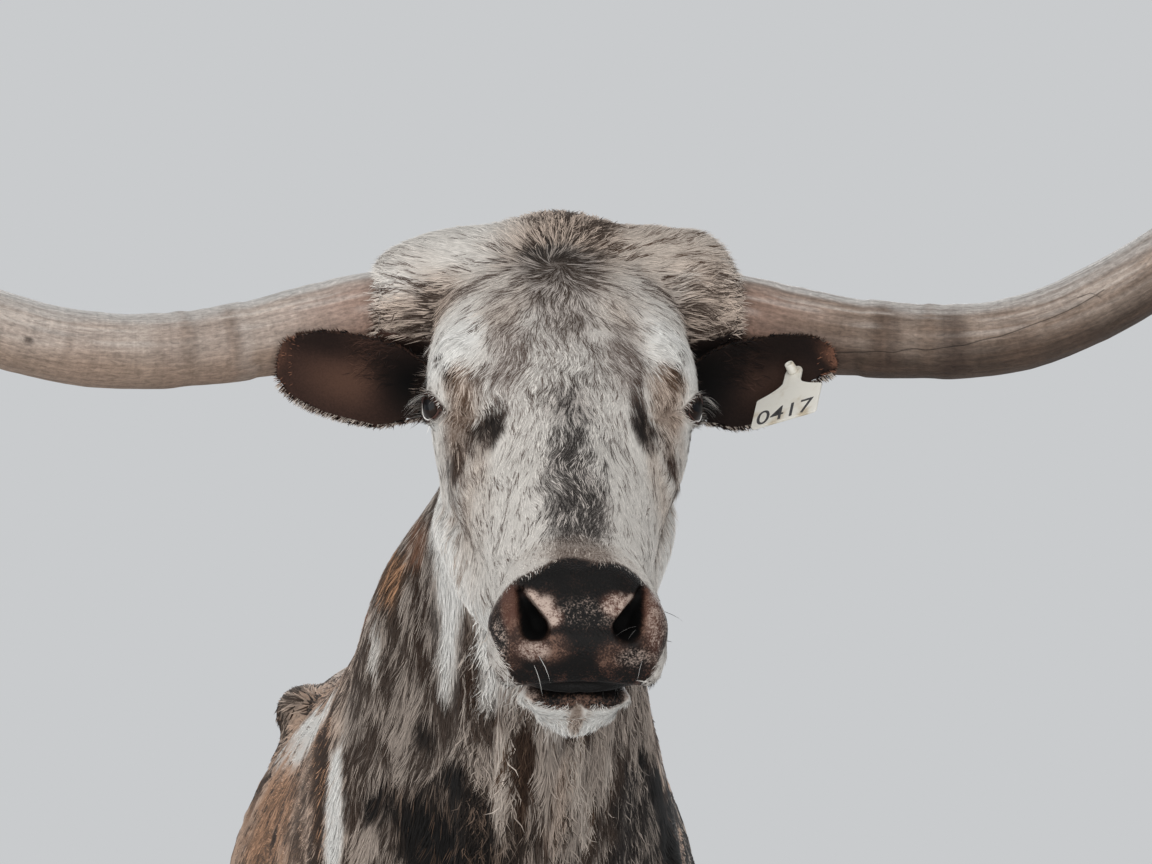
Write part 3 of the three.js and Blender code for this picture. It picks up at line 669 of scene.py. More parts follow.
def remeshed(shells, voxel, share, is_head):
    """One closed skin round shells that run into each other, with about "share" of its faces kept. The head
    keeps all its faces round the eyes, the nose and the mouth."""
    work = new_piece("work", *gather(shells))
    union = work.modifiers.new("union", "REMESH")
    union.mode = "VOXEL"
    union.voxel_size = voxel * MM
    mesh = applied(work)
    points, edges = read_points(mesh), read_edges(mesh)
    blend = 5 if is_head else 26
    p = own(points)
    slim = np.ones(len(p)) if is_head else ease(760, 1000, p[:, 2])
    slim = np.maximum(slim, 0.35) * (1 - 0.85 * ease(880, 905, p[:, 1]))
    points = relax(points, edges, blend, slim)
    write_points(mesh, points)
    work = new_object("work", mesh)
    fewer = work.modifiers.new("fewer faces", "DECIMATE")
    fewer.ratio = share
    if is_head:
        q = by_face(points)
        plain = 1 - ease(60, 90, q[:, 1]) * ease(-150, -110, q[:, 2]) * ease(250, 200, np.abs(q[:, 0]))
        thinned = work.vertex_groups.new(name="thinned")
        for vertex in np.nonzero(plain > 0.5)[0].tolist():
            thinned.add([vertex], 1.0, "REPLACE")
        fewer.vertex_group = thinned.name
    return applied(work)


def joined_hide(voxel_head, voxel_body, head_share, body_share):
    """The fine head and the coarser body, cut at one plane in the neck and bridged into one skin."""
    plane = (0, (NECK_JOIN_Y * MM) + STANCE[1], 0)
    skin = bmesh.new()
    for shells, voxel, share, front in (
        (head_shells(), voxel_head, head_share, True),
        (body_shells(), voxel_body, body_share, False),
    ):
        half = bmesh.new()
        half.from_mesh(remeshed(shells, voxel, share, front))
        gap = -1.5 * MM if front else 1.5 * MM
        bmesh.ops.bisect_plane(
            half, geom=half.verts[:] + half.edges[:] + half.faces[:], plane_co=(0, plane[1] + gap, 0),
            plane_no=(0, 1, 0), clear_outer=front, clear_inner=not front)
        mesh = bpy.data.meshes.new("half")
        half.to_mesh(mesh)
        half.free()
        skin.from_mesh(mesh)
    rims = [edge for edge in skin.edges if edge.is_boundary]
    bmesh.ops.bridge_loops(skin, edges=rims)
    bmesh.ops.recalc_face_normals(skin, faces=skin.faces[:])
    return skin


def refine(skin, centre, radius):
    """Splits the faces of the skin that lie within a radius of a place."""
    skin.verts.ensure_lookup_table()
    skin.edges.ensure_lookup_table()
    near = [e for e in skin.edges
            if (e.verts[0].co - centre).length < radius and (e.verts[1].co - centre).length < radius]
    bmesh.ops.subdivide_edges(skin, edges=near, cuts=1, use_grid_fill=True, smooth=0)


def coat_depth(points):
    """How deep the skin lies under the tips of the coat, in millimetres, by part of the body."""
    q, p = by_face(points), own(points)
    head = ease(-1090, -1150, p[:, 1])
    bare = ease(430, 480, q[:, 1])
    face = 3.2 - 2.9 * bare + 5.0 * ease(60, 0, q[:, 1])
    legs = ease(900, 500, p[:, 2])
    body = 9.0 - 4.0 * legs - 2.0 * ease(300, 120, p[:, 2])
    tail = ease(880, 905, p[:, 1])
    depth = body * (1 - head) + face * head
    depth = depth * (1 - tail) + 3.0 * tail
    keel = bump(p[:, 0] / 40) * ease(-700, -780, p[:, 1]) * ease(1400, 1350, p[:, 2]) * (1 - head)
    depth = depth * (1 - 0.7 * keel)
    for side in (LEFT, RIGHT):
        depth = np.where(on_ear(points, side) > 0.5, 0.9, depth)
    return depth


def on_ear(points, side):
    """1 on an ear and 0 elsewhere, eased in at its root."""
    along, height, depth = by_ear(points, side)
    inside = (height > -60) & (height < 41) & (np.abs(depth - 8) < 40)
    return ease(0.1, 0.22, along) * inside


# Hollows and swellings of the head: on which side, place by the face line, radii, and how far each pushes
RELIEF = [
    ("left", 100, -1, -19, 58, 70, 50, 0, -6.5, 7),
    ("right", 100, -1, -19, 58, 70, 50, 0, -6.5, 3),
    ("left", 128, 16, -16, 34, 44, 34, 3, -9, 3),
    ("both", 98, 112, -72, 30, 42, 44, -9, 0, 0),
    ("both", 82, 160, -26, 34, 36, 30, 2, 0, 3),
    ("both", 68, 240, -36, 26, 40, 30, -4, 0, -6),
    ("both", 92, 285, -92, 26, 70, 22, 2, 0, 0),
    ("both", 84, 335, -122, 26, 70, 26, -2, 0, 0),
    ("both", 30, 330, -6, 15, 130, 16, 0, 0, 3),
    ("one", 0, 140, 4, 55, 60, 24, 0, 0, -3),
    ("both", 55, 506, -44, 18, 26, 26, 4, 0, 4),
    ("both", 30, 486, -12, 22, 18, 16, 1, 0, 2),
    ("one", 0, 470, -4, 18, 16, 12, 0, 0, -2.5),
    ("both", 50, 530, -70, 24, 24, 18, 3, 4, 0),
    ("both", 26, 535, -64, 16, 22, 20, 0, 3, 2),
    ("both", 60, 445, -50, 16, 40, 26, -3, 0, -2),
    ("right", 96, 232, -150, 30, 50, 40, 5, 0, 0),
    ("left", 92, 300, -150, 44, 120, 70, -12, 0, 0),
    ("both", 60, 430, -150, 44, 90, 64, -16, 0, 8),
    ("both", 54, 500, -122, 30, 60, 40, -9, 0, 5),
    ("both", 66, 524, -88, 22, 36, 22, -7, -2, 7),
]

# Where a place on the muzzle shows from in front: its height there, from its place by the face line
SEEN_DOWN, SEEN_ABOVE = 0.588, -0.809
NOSE_CENTRE_X = 1.5
NOSTRIL_LOW, NOSTRIL_TOP = np.array([35.0, 332.5]), np.array([46.0, 306.0])
NOSTRIL_WIDE, NOSTRIL_NARROW = 11.0, 3.8
NOSTRIL_DEPTH = 27.0
MOUTH_SEEN = 379.0


def seen_height(q):
    """How far down the muzzle a place shows from in front, in millimetres."""
    return SEEN_DOWN * q[:, 1] + SEEN_ABOVE * q[:, 2]


def nostril_field(q):
    """How deep in a nostril a place is, from 0 to 1: a drop with its round end low and inside, whose
    narrow end runs up and out and is shallower."""
    seen = np.stack([np.abs(q[:, 0] - NOSE_CENTRE_X), seen_height(q)], axis=1) - NOSTRIL_LOW
    line = NOSTRIL_TOP - NOSTRIL_LOW
    t = np.clip(seen @ line / (line @ line), 0, 1)
    away = np.linalg.norm(seen - t[:, None] * line, axis=1)
    d = away / (NOSTRIL_WIDE + (NOSTRIL_NARROW - NOSTRIL_WIDE) * t)
    field = ease(1.18, 0.42, d) * (1 - 0.66 * ease(0.1, 1.0, t))
    return field * ease(440, 455, q[:, 1]) * ease(-85, -78, q[:, 2])


def mouth_line(q):
    """How near a place is to the mouth: a line that dips a little in the middle, on the front and sides."""
    t = seen_height(q)
    x = q[:, 0] - NOSE_CENTRE_X
    line = MOUTH_SEEN - 2.5 * bump(x / 60) + 0.0006 * x * x
    return t - line


# The slit between the lids: half its length, its height above and below, and its shift back and up
LID_HALF = 13.5
LID_UPPER, LID_LOWER = 9.5, 9.0
LID_BACK, LID_RAISE = 2.6, -2.6


def eye_centre(side):
    """The middle of an eye, in the row frame."""
    return on_face(side * EYE_PLACE[0], EYE_PLACE[1], EYE_PLACE[2])


def lid_field(points, side):
    """A place near an eye: how far out it is in eyelid openings, whether it faces out, and its radius."""
    centre = eye_centre(side)
    look, along, up = eye_axes(side)
    away = (points - centre) / MM
    radius = np.linalg.norm(away, axis=1)
    way = away / np.maximum(radius, 1e-6)[:, None]
    s, u = way @ along * EYE_RADIUS, way @ up * EYE_RADIUS
    s, u = s - LID_BACK, u - LID_RAISE
    height = np.where(u > 0, LID_UPPER, LID_LOWER) * np.sqrt(np.maximum(0.15, 1 - 0.35 * (s / LID_HALF) ** 2))
    opening = np.sqrt((s / LID_HALF) ** 2 + (u / height) ** 2)
    return opening, way @ look, radius, way, s, u


def eye_axes(side):
    """The eye's ways: out along its look, along the slit of its lids towards the nose, and up."""
    flip = np.array([side, 1, 1])
    look = head_turned(EYE_LOOK * flip)
    up = np.array([0, -0.28, 1.0])
    up = unit(up - look * (up @ look))
    along = np.cross(up, look) * side
    return look, unit(along), up


def carve_head(points):
    """The head's relief: hollows and swellings, the mouth, the nostrils and the lids."""
    q = by_face(points)
    head = ease(-1035, -1100, own(points)[:, 1])
    moved = q.copy()
    for where, x, down, above, rx, rd, ra, px, pd, pa in RELIEF:
        for side in SIDES[where]:
            near = head * bump(oval(q, [side * x, down, above], [rx, rd, ra]))
            moved += near[:, None] * np.array([side * px, pd, pa])
    q = moved
    front = ease(395, 440, q[:, 1])
    gap = mouth_line(q)
    x = q[:, 0] - NOSE_CENTRE_X
    wide = ease(72, 55, np.abs(x))
    lips = front * wide * bump((gap - 1) / 5) * (q[:, 2] < -50)
    q = q - lips[:, None] * np.array([0, 5.0, 0])
    lower_lip = front * ease(0, 10, gap) * ease(34, 14, gap) * ease(62, 40, np.abs(x))
    q = q + lower_lip[:, None] * np.array([0, 10.0, 3.0])
    q[:, 0] += lower_lip * ease(18, 4, gap) * np.sign(x) * 12 * ease(10, 36, np.abs(x))
    q = q + (front * bump(x / 5) * bump((gap - 15) / 16))[:, None] * np.array([0, -4.0, 0])
    q = q + (front * bump(x / 3.5) * bump((gap + 22) / 24))[:, None] * np.array([0, -1.6, 0])
    rim = nostril_field(q)
    side = np.sign(x)
    seen = np.stack([np.abs(x), seen_height(q)], axis=1)
    wing = bump(oval(seen, [53, 322], [12, 24])) * ease(440, 470, q[:, 1])
    q = q + (wing * 3.0)[:, None] * np.stack([side * 0.5, 0.7 + 0 * side, 0.5 + 0 * side], axis=1)
    inward = np.stack([-0.16 * side, np.full(len(q), -0.80), np.full(len(q), -0.56)], axis=1)
    q = q + (rim * NOSTRIL_DEPTH)[:, None] * inward
    points = on_face(q[:, 0], q[:, 1], q[:, 2])
    for side in (LEFT, RIGHT):
        points = carve_lids(points, side)
    return points


def carve_lids(points, side):
    """The lids: by how far out of the slit a place is, its distance from the eye's middle follows a rim,
    a rolled edge and a crease, and then runs out into the face."""
    opening, facing, radius, way, _, u = lid_field(points, side)
    near = (facing > -0.05) & (radius < 70)
    edge = EYE_RADIUS + 2.4
    shape = (EYE_RADIUS - 4) + (edge - EYE_RADIUS + 4) * ease(0.86, 1.0, opening)
    shape = shape + 1.0 * bump((opening - 1.22) / 0.2) - 1.2 * bump((opening - 1.5) / 0.22)
    shape = shape + 3.0 * ease(1.55, 2.3, opening) * np.where(u > 0, 1.3, 0.6)
    out = ease(1.35, 2.6, opening)
    target = shape * (1 - out) + radius * out
    fade = near * ease(-0.05, 0.25, facing)
    centre = points - way * (radius * MM)[:, None]
    return centre + way * ((radius + (target - radius) * fade) * MM)[:, None]


# Folds of loose skin down the front of the neck: place across, half width and depth in millimetres
NECK_FOLDS = [
    [-72, 15, 8], [-38, 13, 11], [4, 14, 8], [33, 12, 9], [58, 14, 8], [84, 18, 5],
]


# Hollows and swellings of the body: how far out each pushes, its place, its radii, and how far from the
# middle it starts
BODY_RELIEF = [
    (-20, (0, 400, 1275), (600, 90, 70), 120),
    (-12, (0, -430, 1290), (600, 70, 110), 100),
    (6, (0, 640, 1180), (600, 120, 160), 100),
    (-10, (0, 480, 1150), (600, 60, 110), 120),
    (12, (-138, -800, 1375), (110, 150, 120), 0),
]


def carve_body(points, normals):
    """The body's relief: neck folds, wrinkles behind the jaw, ribs, hollows and tendons."""
    p = own(points)
    x, y, z = p.T
    push = np.zeros(len(p))
    throat = ease(-760, -880, y) * ease(-1130, -1060, y) * ease(860, 960, z)
    front = ease(-0.05, -0.45, normals[:, 1])
    drift = 0.06 * (z - 1200) * np.sign(x) + 6 * noise(np.stack([z, z, z], 1) * [1, 0, 0], 90, 3)
    for place, half, deep in NECK_FOLDS:
        push += throat * front * (deep * bump((x - place - drift) / half) - 0.15 * deep)
    ribs = ease(-330, -180, y) * ease(360, 260, y) * ease(760, 860, z) * ease(1330, 1240, z)
    push += ribs * 2.2 * np.sin((y + 0.28 * (z - 1000)) / 34 * math.pi)
    for out, centre, radii, inner in BODY_RELIEF:
        push += out * bump(oval(p, centre, radii)) * (np.abs(x) > inner)
    spine_ridge = bump(x / 26) * ease(-500, -380, y) * (z > 1300)
    push += 5 * spine_ridge
    cannon = ease(150, 190, z) * ease(370, 330, z)
    push += cannon * -3.5 * bump((leg_across(p) - 8) / 9)
    return points + normals * (push * MM)[:, None]


def leg_across(p):
    """How far behind the middle of its cannon bone a place is, in millimetres."""
    across = np.empty(len(p))
    for name, (_, side, step) in LEGS.items():
        pair = name.split("_")[0]
        mine = ((p[:, 1] < 100) == (pair == "fore")) & ((p[:, 0] > 0) == (side == LEFT))
        forward = step * np.maximum(0, 1 - p[mine, 2] / STEP_FROM_HEIGHT)
        across[mine] = p[mine, 1] - CANNON_Y[pair] - forward
    return across


# Markings

HAIR = {
    "white": "#f0ede7",
    "pale": "#dfd9d1",
    "grey": "#c2b8b0",
    "tan": "#cab6a6",
    "sand": "#d2c4b7",
    "taupe": "#a89b90",
    "earth": "#4b3f37",
    "orange": "#cf9d78",
    "rust": "#7d5a46",
    "red": "#9a6b55",
    "roan": "#5a4b43",
    "brown": "#5c4738",
    "umber": "#3a2a20",
    "charcoal": "#2f2b29",
    "black": "#171514",
    "nose_pale": "#b09d91",
    "nose_tan": "#6c5245",
    "nose_red": "#50342a",
    "nose_brown": "#2f201a",
    "nose_black": "#0b0908",
    "ear_pale": "#614639",
    "ear_red": "#47322a",
    "ear_dark": "#2c1f1a",
    "ear_black": "#191210",
}

# Patches of the face, by place across and down the face, with radii, turn in degrees, share of dark
# hair, light hair, dark hair and strength. A patch for both sides has "both".
FACE_PATCHES = [
    ("one", 0, 20, 150, 120, 0, 0.42, "sand", "roan", 1.0),
    ("one", -86, 4, 80, 58, 12, 0.0, "pale", "roan", 1.0),
    ("one", -120, 90, 46, 26, 0, 0.60, "tan", "earth", 0.9),
    ("one", 85, 20, 84, 56, -10, 0.30, "sand", "brown", 0.85),
    ("one", 125, 84, 46, 36, 0, 0.50, "tan", "earth", 0.9),
    ("both", 132, 108, 30, 24, 0, 0.58, "tan", "umber", 0.7),
    ("one", 2, 26, 38, 62, 0, 0.56, "tan", "earth", 0.95),
    ("one", -7, 74, 24, 28, 0, 0.68, "taupe", "black", 0.95),
    ("one", -7, 80, 11, 13, 0, 0.92, "roan", "black", 1.0),
    ("one", -2, 135, 40, 66, 0, 0.58, "grey", "earth", 0.95),
    ("both", 50, 135, 26, 46, 0, 0.50, "sand", "roan", 0.85),
    ("both", 60, 105, 24, 34, 0, 0.38, "pale", "roan", 0.5),
    ("both", 92, 168, 27, 56, 8, 0.10, "white", "roan", 1.0),
    ("both", 44, 200, 20, 46, 0, 0.58, "grey", "roan", 0.85),
    ("one", 0, 215, 36, 34, 0, 0.46, "pale", "roan", 0.85),
    ("one", 2, 335, 40, 130, 0, 0.46, "pale", "charcoal", 0.9),
    ("one", -2, 338, 24, 54, 0, 0.66, "grey", "charcoal", 0.9),
    ("one", 7, 405, 24, 62, 0, 0.70, "grey", "charcoal", 0.9),
    ("one", 0, 262, 26, 30, 0, 0.48, "grey", "charcoal", 0.8),
    ("both", 106, 320, 14, 110, 0, 0.0, "white", "white", 0.95),
    ("one", -52, 385, 22, 100, 4, 0.30, "pale", "roan", 0.9),
    ("one", 52, 385, 22, 100, -4, 0.14, "pale", "roan", 0.9),
    ("both", 36, 262, 20, 34, 10, 0.42, "pale", "roan", 0.8),
    ("one", 2, 466, 40, 24, 0, 0.60, "sand", "roan", 0.9),
    ("both", 65, 250, 12, 18, 14, 0.9, "umber", "black", 0.95),
    ("both", 61, 266, 12, 18, 14, 0.85, "umber", "black", 0.95),
    ("both", 84, 220, 17, 26, 0, 0.56, "tan", "brown", 0.95),
    ("both", 90, 200, 15, 10, 10, 0.60, "tan", "brown", 0.9),
    ("both", 84, 254, 10, 20, 12, 0.82, "tan", "umber", 0.95),
    ("both", 76, 308, 15, 60, 6, 0.46, "sand", "roan", 0.9),
    ("both", 68, 345, 14, 50, 0, 0.22, "pale", "roan", 0.6),
    ("one", -95, 196, 4, 13, 28, 1.0, "roan", "black", 0.95),
    ("one", -103, 176, 3, 8, 28, 0.9, "roan", "black", 0.8),
    ("one", 98, 176, 3, 11, -24, 0.85, "roan", "black", 0.8),
    ("one", 93, 194, 3, 11, -24, 0.85, "roan", "black", 0.8),
    ("one", 0, 525, 6, 9, 0, 0.70, "tan", "brown", 0.9),
]

# Patches of the bare muzzle as it shows from in front: place across and height there, radii, share of
# dark skin, light skin, dark skin, strength
NOSE_PATCHES = [
    ("both", 56, 332, 16, 40, 0.70, "nose_tan", "nose_brown", 0.9),
    ("both", 63, 345, 8, 26, 0.72, "nose_pale", "nose_black", 0.9),
    ("one", 0, 345, 24, 40, 0.88, "nose_red", "nose_black", 0.8),
    ("one", -19, 347, 14, 14, 0.46, "nose_tan", "nose_brown", 0.95),
    ("one", -36, 349, 13, 8, 0.34, "nose_pale", "nose_red", 0.85),
    ("one", 24, 354, 15, 12, 0.50, "nose_tan", "nose_brown", 0.95),
    ("one", 39, 355, 12, 8, 0.50, "nose_pale", "nose_black", 0.85),
    ("one", 2, 322, 24, 13, 0.66, "nose_pale", "nose_black", 0.9),
    ("one", -38, 311, 8, 7, 0.30, "nose_pale", "nose_red", 1.0),
    ("one", -29, 317, 11, 10, 0.22, "nose_pale", "nose_red", 1.0),
    ("one", -21, 325, 8, 9, 0.34, "nose_pale", "nose_red", 1.0),
    ("one", 28, 316, 14, 10, 0.30, "nose_pale", "nose_red", 1.0),
    ("one", 38, 315, 5, 8, 0.10, "nose_pale", "nose_red", 1.0),
    ("both", 53, 316, 7, 20, 0.54, "nose_tan", "nose_red", 0.9),
    ("one", 57, 326, 7, 24, 0.46, "nose_pale", "nose_red", 0.7),
    ("both", 26, 290, 60, 13, 0.90, "nose_brown", "nose_black", 1.0),
    ("one", 0, 296, 26, 12, 0.84, "nose_brown", "nose_black", 0.9),
    ("both", 28, 369, 44, 7, 0.76, "nose_red", "nose_black", 0.8),
    # A black line along the mouth: painted shadow in the gap between the lips
    ("one", 5, 380, 34, 5, 1.2, "nose_black", "nose_black", 1.0),
    ("one", 0, 393, 50, 8, 0.50, "nose_tan", "nose_black", 1.0),
    ("both", -42, 387, 10, 10, 0.30, "nose_pale", "nose_brown", 0.9),
]

# Patches of the neck and body, in the animal's own millimetres
BODY_PATCHES = [
    [(-70, -880, 1150), (90, 110, 70), 0.80, "brown", "black", 0.85],
    [(-93, -862, 1140), (60, 80, 50), 0.90, "brown", "black", 0.9],
    [(-150, -780, 1260), (26, 60, 46), 0.40, "taupe", "earth", 0.85],
    [(-84, -975, 1352), (15, 90, 76), -0.1, "white", "pale", 1.0],
    [(-88, -1010, 1430), (28, 70, 80), 0.0, "white", "pale", 1.0],
    [(-55, -1070, 1400), (34, 60, 70), 0.02, "white", "pale", 1.0],
    [(-52, -1020, 1330), (14, 60, 60), 0.02, "white", "pale", 0.9],
    [(-68, -985, 1298), (12, 70, 44), 0.74, "sand", "umber", 0.95],
    [(-102, -925, 1340), (14, 80, 90), 0.62, "taupe", "umber", 0.9],
    [(-126, -850, 1388), (14, 60, 40), 0.62, "orange", "brown", 1.0],
    [(-140, -775, 1348), (13, 60, 32), 0.55, "tan", "rust", 0.95],
    [(-108, -920, 1432), (12, 60, 36), 0.62, "tan", "rust", 0.95],
    [(-142, -800, 1318), (8, 60, 40), 0.02, "pale", "brown", 0.9],
    [(-69, -915, 1202), (20, 50, 20), 0.98, "umber", "black", 0.95],
    [(-137, -818, 1176), (24, 50, 24), 0.95, "umber", "black", 0.95],
    [(-93, -890, 1238), (20, 50, 36), 0.92, "umber", "black", 0.9],
    [(-177, -765, 1168), (12, 60, 100), -0.1, "white", "pale", 1.0],
    [(-186, -670, 1220), (9, 90, 110), 0.80, "orange", "umber", 0.95],
    [(-200, -340, 1262), (36, 220, 50), 0.0, "white", "brown", 0.95],
    [(-240, -360, 1150), (60, 190, 90), 0.52, "orange", "umber", 0.9],
    [(-190, 500, 1345), (80, 120, 70), 0.62, "tan", "earth", 0.95],
    [(-182, -560, 1290), (16, 90, 56), 0.0, "white", "brown", 0.95],
    [(-37, -980, 1215), (9, 60, 66), 0.22, "sand", "brown", 0.9],
    [(-18, -998, 1205), (8, 50, 60), 0.90, "brown", "umber", 0.95],
    [(10, -970, 1190), (12, 60, 70), 0.34, "tan", "brown", 0.9],
    [(30, -973, 1222), (6, 50, 50), 0.16, "sand", "brown", 0.9],
    [(62, -900, 1215), (9, 60, 40), 0.20, "sand", "brown", 0.8],
    [(44, -925, 1165), (9, 50, 34), 0.20, "sand", "brown", 0.8],
    [(110, -830, 1150), (60, 90, 90), 0.66, "taupe", "charcoal", 0.9],
    [(106, -825, 1228), (12, 40, 18), 1.0, "charcoal", "black", 0.9],
    [(132, -780, 1198), (16, 50, 20), 1.0, "charcoal", "black", 0.95],
    [(190, -640, 1120), (60, 150, 130), 0.80, "taupe", "black", 1.0],
    [(152, -740, 1140), (32, 80, 62), 0.92, "roan", "black", 1.0],
    [(150, -735, 1246), (16, 80, 46), 0.22, "grey", "roan", 0.9],
    [(228, -330, 1140), (50, 210, 120), 0.80, "taupe", "black", 0.9],
]


def plain_pattern(count, light, dark, share):
    """A pattern to lay patches on: light hair and dark hair at each point, and the share of dark."""
    light, dark = (np.tile(linear(HAIR[name]), (count, 1)) for name in (light, dark))
    return [light, dark, np.zeros(count) + share]


def lay(pattern, weight, new_share, new_light, new_dark):
    """Lays one patch over a pattern, by its weight at each point."""
    light, dark, share = pattern
    light += weight[:, None] * (linear(HAIR[new_light]) - light)
    dark += weight[:, None] * (linear(HAIR[new_dark]) - dark)
    share += weight * (new_share - share)


def overlaid(under, over, weight):
    """One pattern over another, by its weight at each point."""
    w = weight[:, None]
    light, dark = (a * (1 - w) + b * w for a, b in zip(under[:2], over[:2]))
    return [light, dark, under[2] * (1 - weight) + over[2] * weight]


def body_pattern(points, big, middle, ragged, blotch):
    """Neck, trunk and legs: brown roan with pale back and belly, dark knees and feet, and its patches."""
    p = own(points)
    y, z = p[:, 1], p[:, 2]
    pattern = plain_pattern(len(points), "tan", "umber", 0.46 + 0.42 * blotch)
    side_band = ease(1395, 1330, z)
    lay(pattern, 1 - side_band, 0.15, "pale", "brown")
    under = ease(800 + 60 * big, 700 + 60 * big, z) * ease(-800, -700, y)
    lay(pattern, under * 0.9, 0.14, "white", "brown")
    legs = ease(640, 520, z)
    lay(pattern, legs * (0.6 + 0.3 * middle).clip(0, 1), 0.22, "pale", "brown")
    knees = bump((z - 400) / 110) * ease(0.1, 0.5, blotch)
    lay(pattern, knees, 0.7, "tan", "umber")
    lay(pattern, ease(150, 95, z) * 0.8, 0.55, "tan", "umber")
    rear = ease(250, 500, y) * side_band * ease(0.1, 0.5, blotch) * ease(700, 900, z)
    lay(pattern, rear * 0.9, 0.75, "orange", "umber")
    warm = ease(-760, -600, y) * side_band * ease(600, 800, z) * (0.55 + 0.4 * middle).clip(0, 1)
    pattern[0] += (0.7 * warm)[:, None] * (linear(HAIR["orange"]) - pattern[0])
    neck = ease(-740, -840, y)
    lay(pattern, neck * 0.9, 0.52, "taupe", "earth")
    upright = points * [1, 1, 0.5]
    spots = noise(upright, 0.030, 14) + 0.55 * noise(upright, 0.014, 15)
    pattern[2] += (0.25 + 0.36 * neck) * spots * side_band
    behind = ease(-620, -460, y)
    for centre, radii, share, light, dark, strength in BODY_PATCHES:
        d = oval(p, centre, radii) + (0.9 + 0.8 * behind) * ragged
        lay(pattern, strength * ease(1.1, 0.6, d), share, light, dark)
    return pattern


def face_pattern(q, ragged, blotch):
    """The face: pale roan with its patches, a white chin and pale jaws."""
    pattern = plain_pattern(len(q), "pale", "roan", 0.34 + 0.12 * blotch)
    chin = ease(-92, -112, q[:, 2]) * ease(405, 445, q[:, 1])
    lay(pattern, chin * 0.95, 0.03, "white", "sand")
    for where, x, down, across_radius, down_radius, turn, share, light, dark, strength in FACE_PATCHES:
        c, s = math.cos(math.radians(turn)), math.sin(math.radians(turn))
        for side in SIDES[where]:
            dx, dd = q[:, 0] - side * x, q[:, 1] - down
            along = (dd * c + side * dx * s) / down_radius
            across = (dx * c - side * dd * s) / across_radius
            d = np.hypot(along, across) + ragged
            lay(pattern, strength * ease(1.36, 0.42, d) * ease(-190, -120, q[:, 2]), share, light, dark)
    jaw = ease(-105, -150, q[:, 2]) * ease(470, 420, q[:, 1])
    lay(pattern, jaw * 0.8, 0.10, "white", "tan")
    pattern[2] += 0.10 * blotch * (pattern[2] > 0.1)
    return pattern


def nose_pattern(points, q, ragged, inside):
    """The bare muzzle: its patches as they show from in front, finely mottled, with painted shade deep in the
    nostrils, painted black and darkened further.
    """
    pattern = plain_pattern(len(q), "nose_brown", "nose_black", 0.7)
    x, t = q[:, 0] - NOSE_CENTRE_X, seen_height(q)
    for where, across, height, wide, tall, share, light, dark, strength in NOSE_PATCHES:
        for side in SIDES[where]:
            d = np.hypot((x - side * across) / wide, (t - height) / tall) + 0.8 * ragged
            lay(pattern, strength * ease(1.3, 0.5, d), share, light, dark)
    pattern[2] += 0.20 * noise(points, 0.0042, 11) + 0.22 * noise(points, 0.010, 12) + 0.06
    # Painted shade deep in the nostrils: black, with the dark colour darkened further
    lay(pattern, inside, 1.2, "nose_black", "nose_black")
    pattern[1] *= (1 - 0.8 * inside)[:, None]
    return pattern


def mark_ear(pattern, points, side, middle):
    """An ear: dark brown, redder in its middle and at its tip, and near black towards its root as painted
    shade in its hollow. The right one is paler.
    """
    along, height, _ = by_ear(points, side)
    ear = on_ear(points, side)
    near, far = ("ear_red", "ear_dark") if side == RIGHT else ("ear_dark", "ear_black")
    lay(pattern, ear, 0.5, near, far)
    centre = ear * bump(np.hypot((along - 0.55) / 0.42, (height + 8) / 30))
    lay(pattern, centre * (0.9 if side == RIGHT else 0.35), 0.3, "ear_pale", "ear_red")
    upper = ear * ease(0.5, 0.75, along) * ease(2, 20, height)
    lay(pattern, upper * 0.7, 0.6, "ear_dark", "ear_black")
    rim = ear * ease(0.9, 1.0, along + 0.08 * middle)
    lay(pattern, rim * (0.3 if side == RIGHT else 0.9), 0.4, "red", "ear_red")
    # Painted shade: near black over the root half of the ear, in its hollow by the head
    inner = ear * ease(0.55, 0.25, along) * bump((height - 2) / 46)
    lay(pattern, inner, 0.95, "ear_dark", "nose_black")


def mark_lids(pattern, points, side):
    """The dark skin of an eye's lids, reaching further above the eye as painted shadow under the upper lid
    and its lashes. Gives how bare each point is there.
    """
    opening, facing, radius, _, s, u = lid_field(points, side)
    # The dark band reaches further on the upper lid, painted shadow under the lid and its lashes, and further
    # towards the back corner
    reach = np.where(u > 0, 0.12, 0.0) + 0.14 * ease(0, 10, s)
    lids = ease(1.32 + reach, 1.06 + reach, opening) * (facing > 0) * (radius < 32)
    lay(pattern, lids, 0.6, "nose_red", "nose_black")
    return ease(1.16 + reach, 1.05 + reach, opening) * (facing > 0) * (radius < 30)


def markings(points):
    """The hide's pattern at each point: its light hair, its dark hair, the share of dark and how bare it is.

    Patches are soft ovals whose edges are broken by noise of 60, 25 and 9 mm."""
    q, p = by_face(points), own(points)
    big, middle, fine = (noise(points, size, k) for k, size in enumerate((0.06, 0.025, 0.009)))
    ragged = 0.34 * big + 0.22 * middle + 0.18 * fine
    blotch = noise(points, 0.085, 7) + 0.6 * noise(points, 0.038, 8)
    pattern = body_pattern(points, big, middle, ragged, blotch)
    head = ease(-1035, -1075, p[:, 1]) * ease(-560, -500, q[:, 2] - 0.6 * q[:, 1]) * ease(1180, 1215, p[:, 2])
    pattern = overlaid(pattern, face_pattern(q, ragged, blotch), head)
    bare = bare_skin(q)
    # How deep in a nostril each place lies, for the painted shade there; it also counts as less bare, so the
    # hide shader darkens it further
    inside = ease(0.16, 0.5, nostril_field(q))
    pattern = overlaid(pattern, nose_pattern(points, q, ragged, inside), bare)
    for side in (LEFT, RIGHT):
        mark_ear(pattern, points, side, middle)
        bare = np.maximum(bare, mark_lids(pattern, points, side))
    light, dark, share = pattern
    return light, dark, np.clip(share, 0, 1), bare * (1 - 0.9 * inside)


def pad_top(x):
    """The upper edge of the muzzle's black as it shows from in front, across from its middle."""
    return 282.0 + 0.0052 * x ** 2 + 0.8e-6 * x ** 4 + 1.5 * np.sin(x / 7)


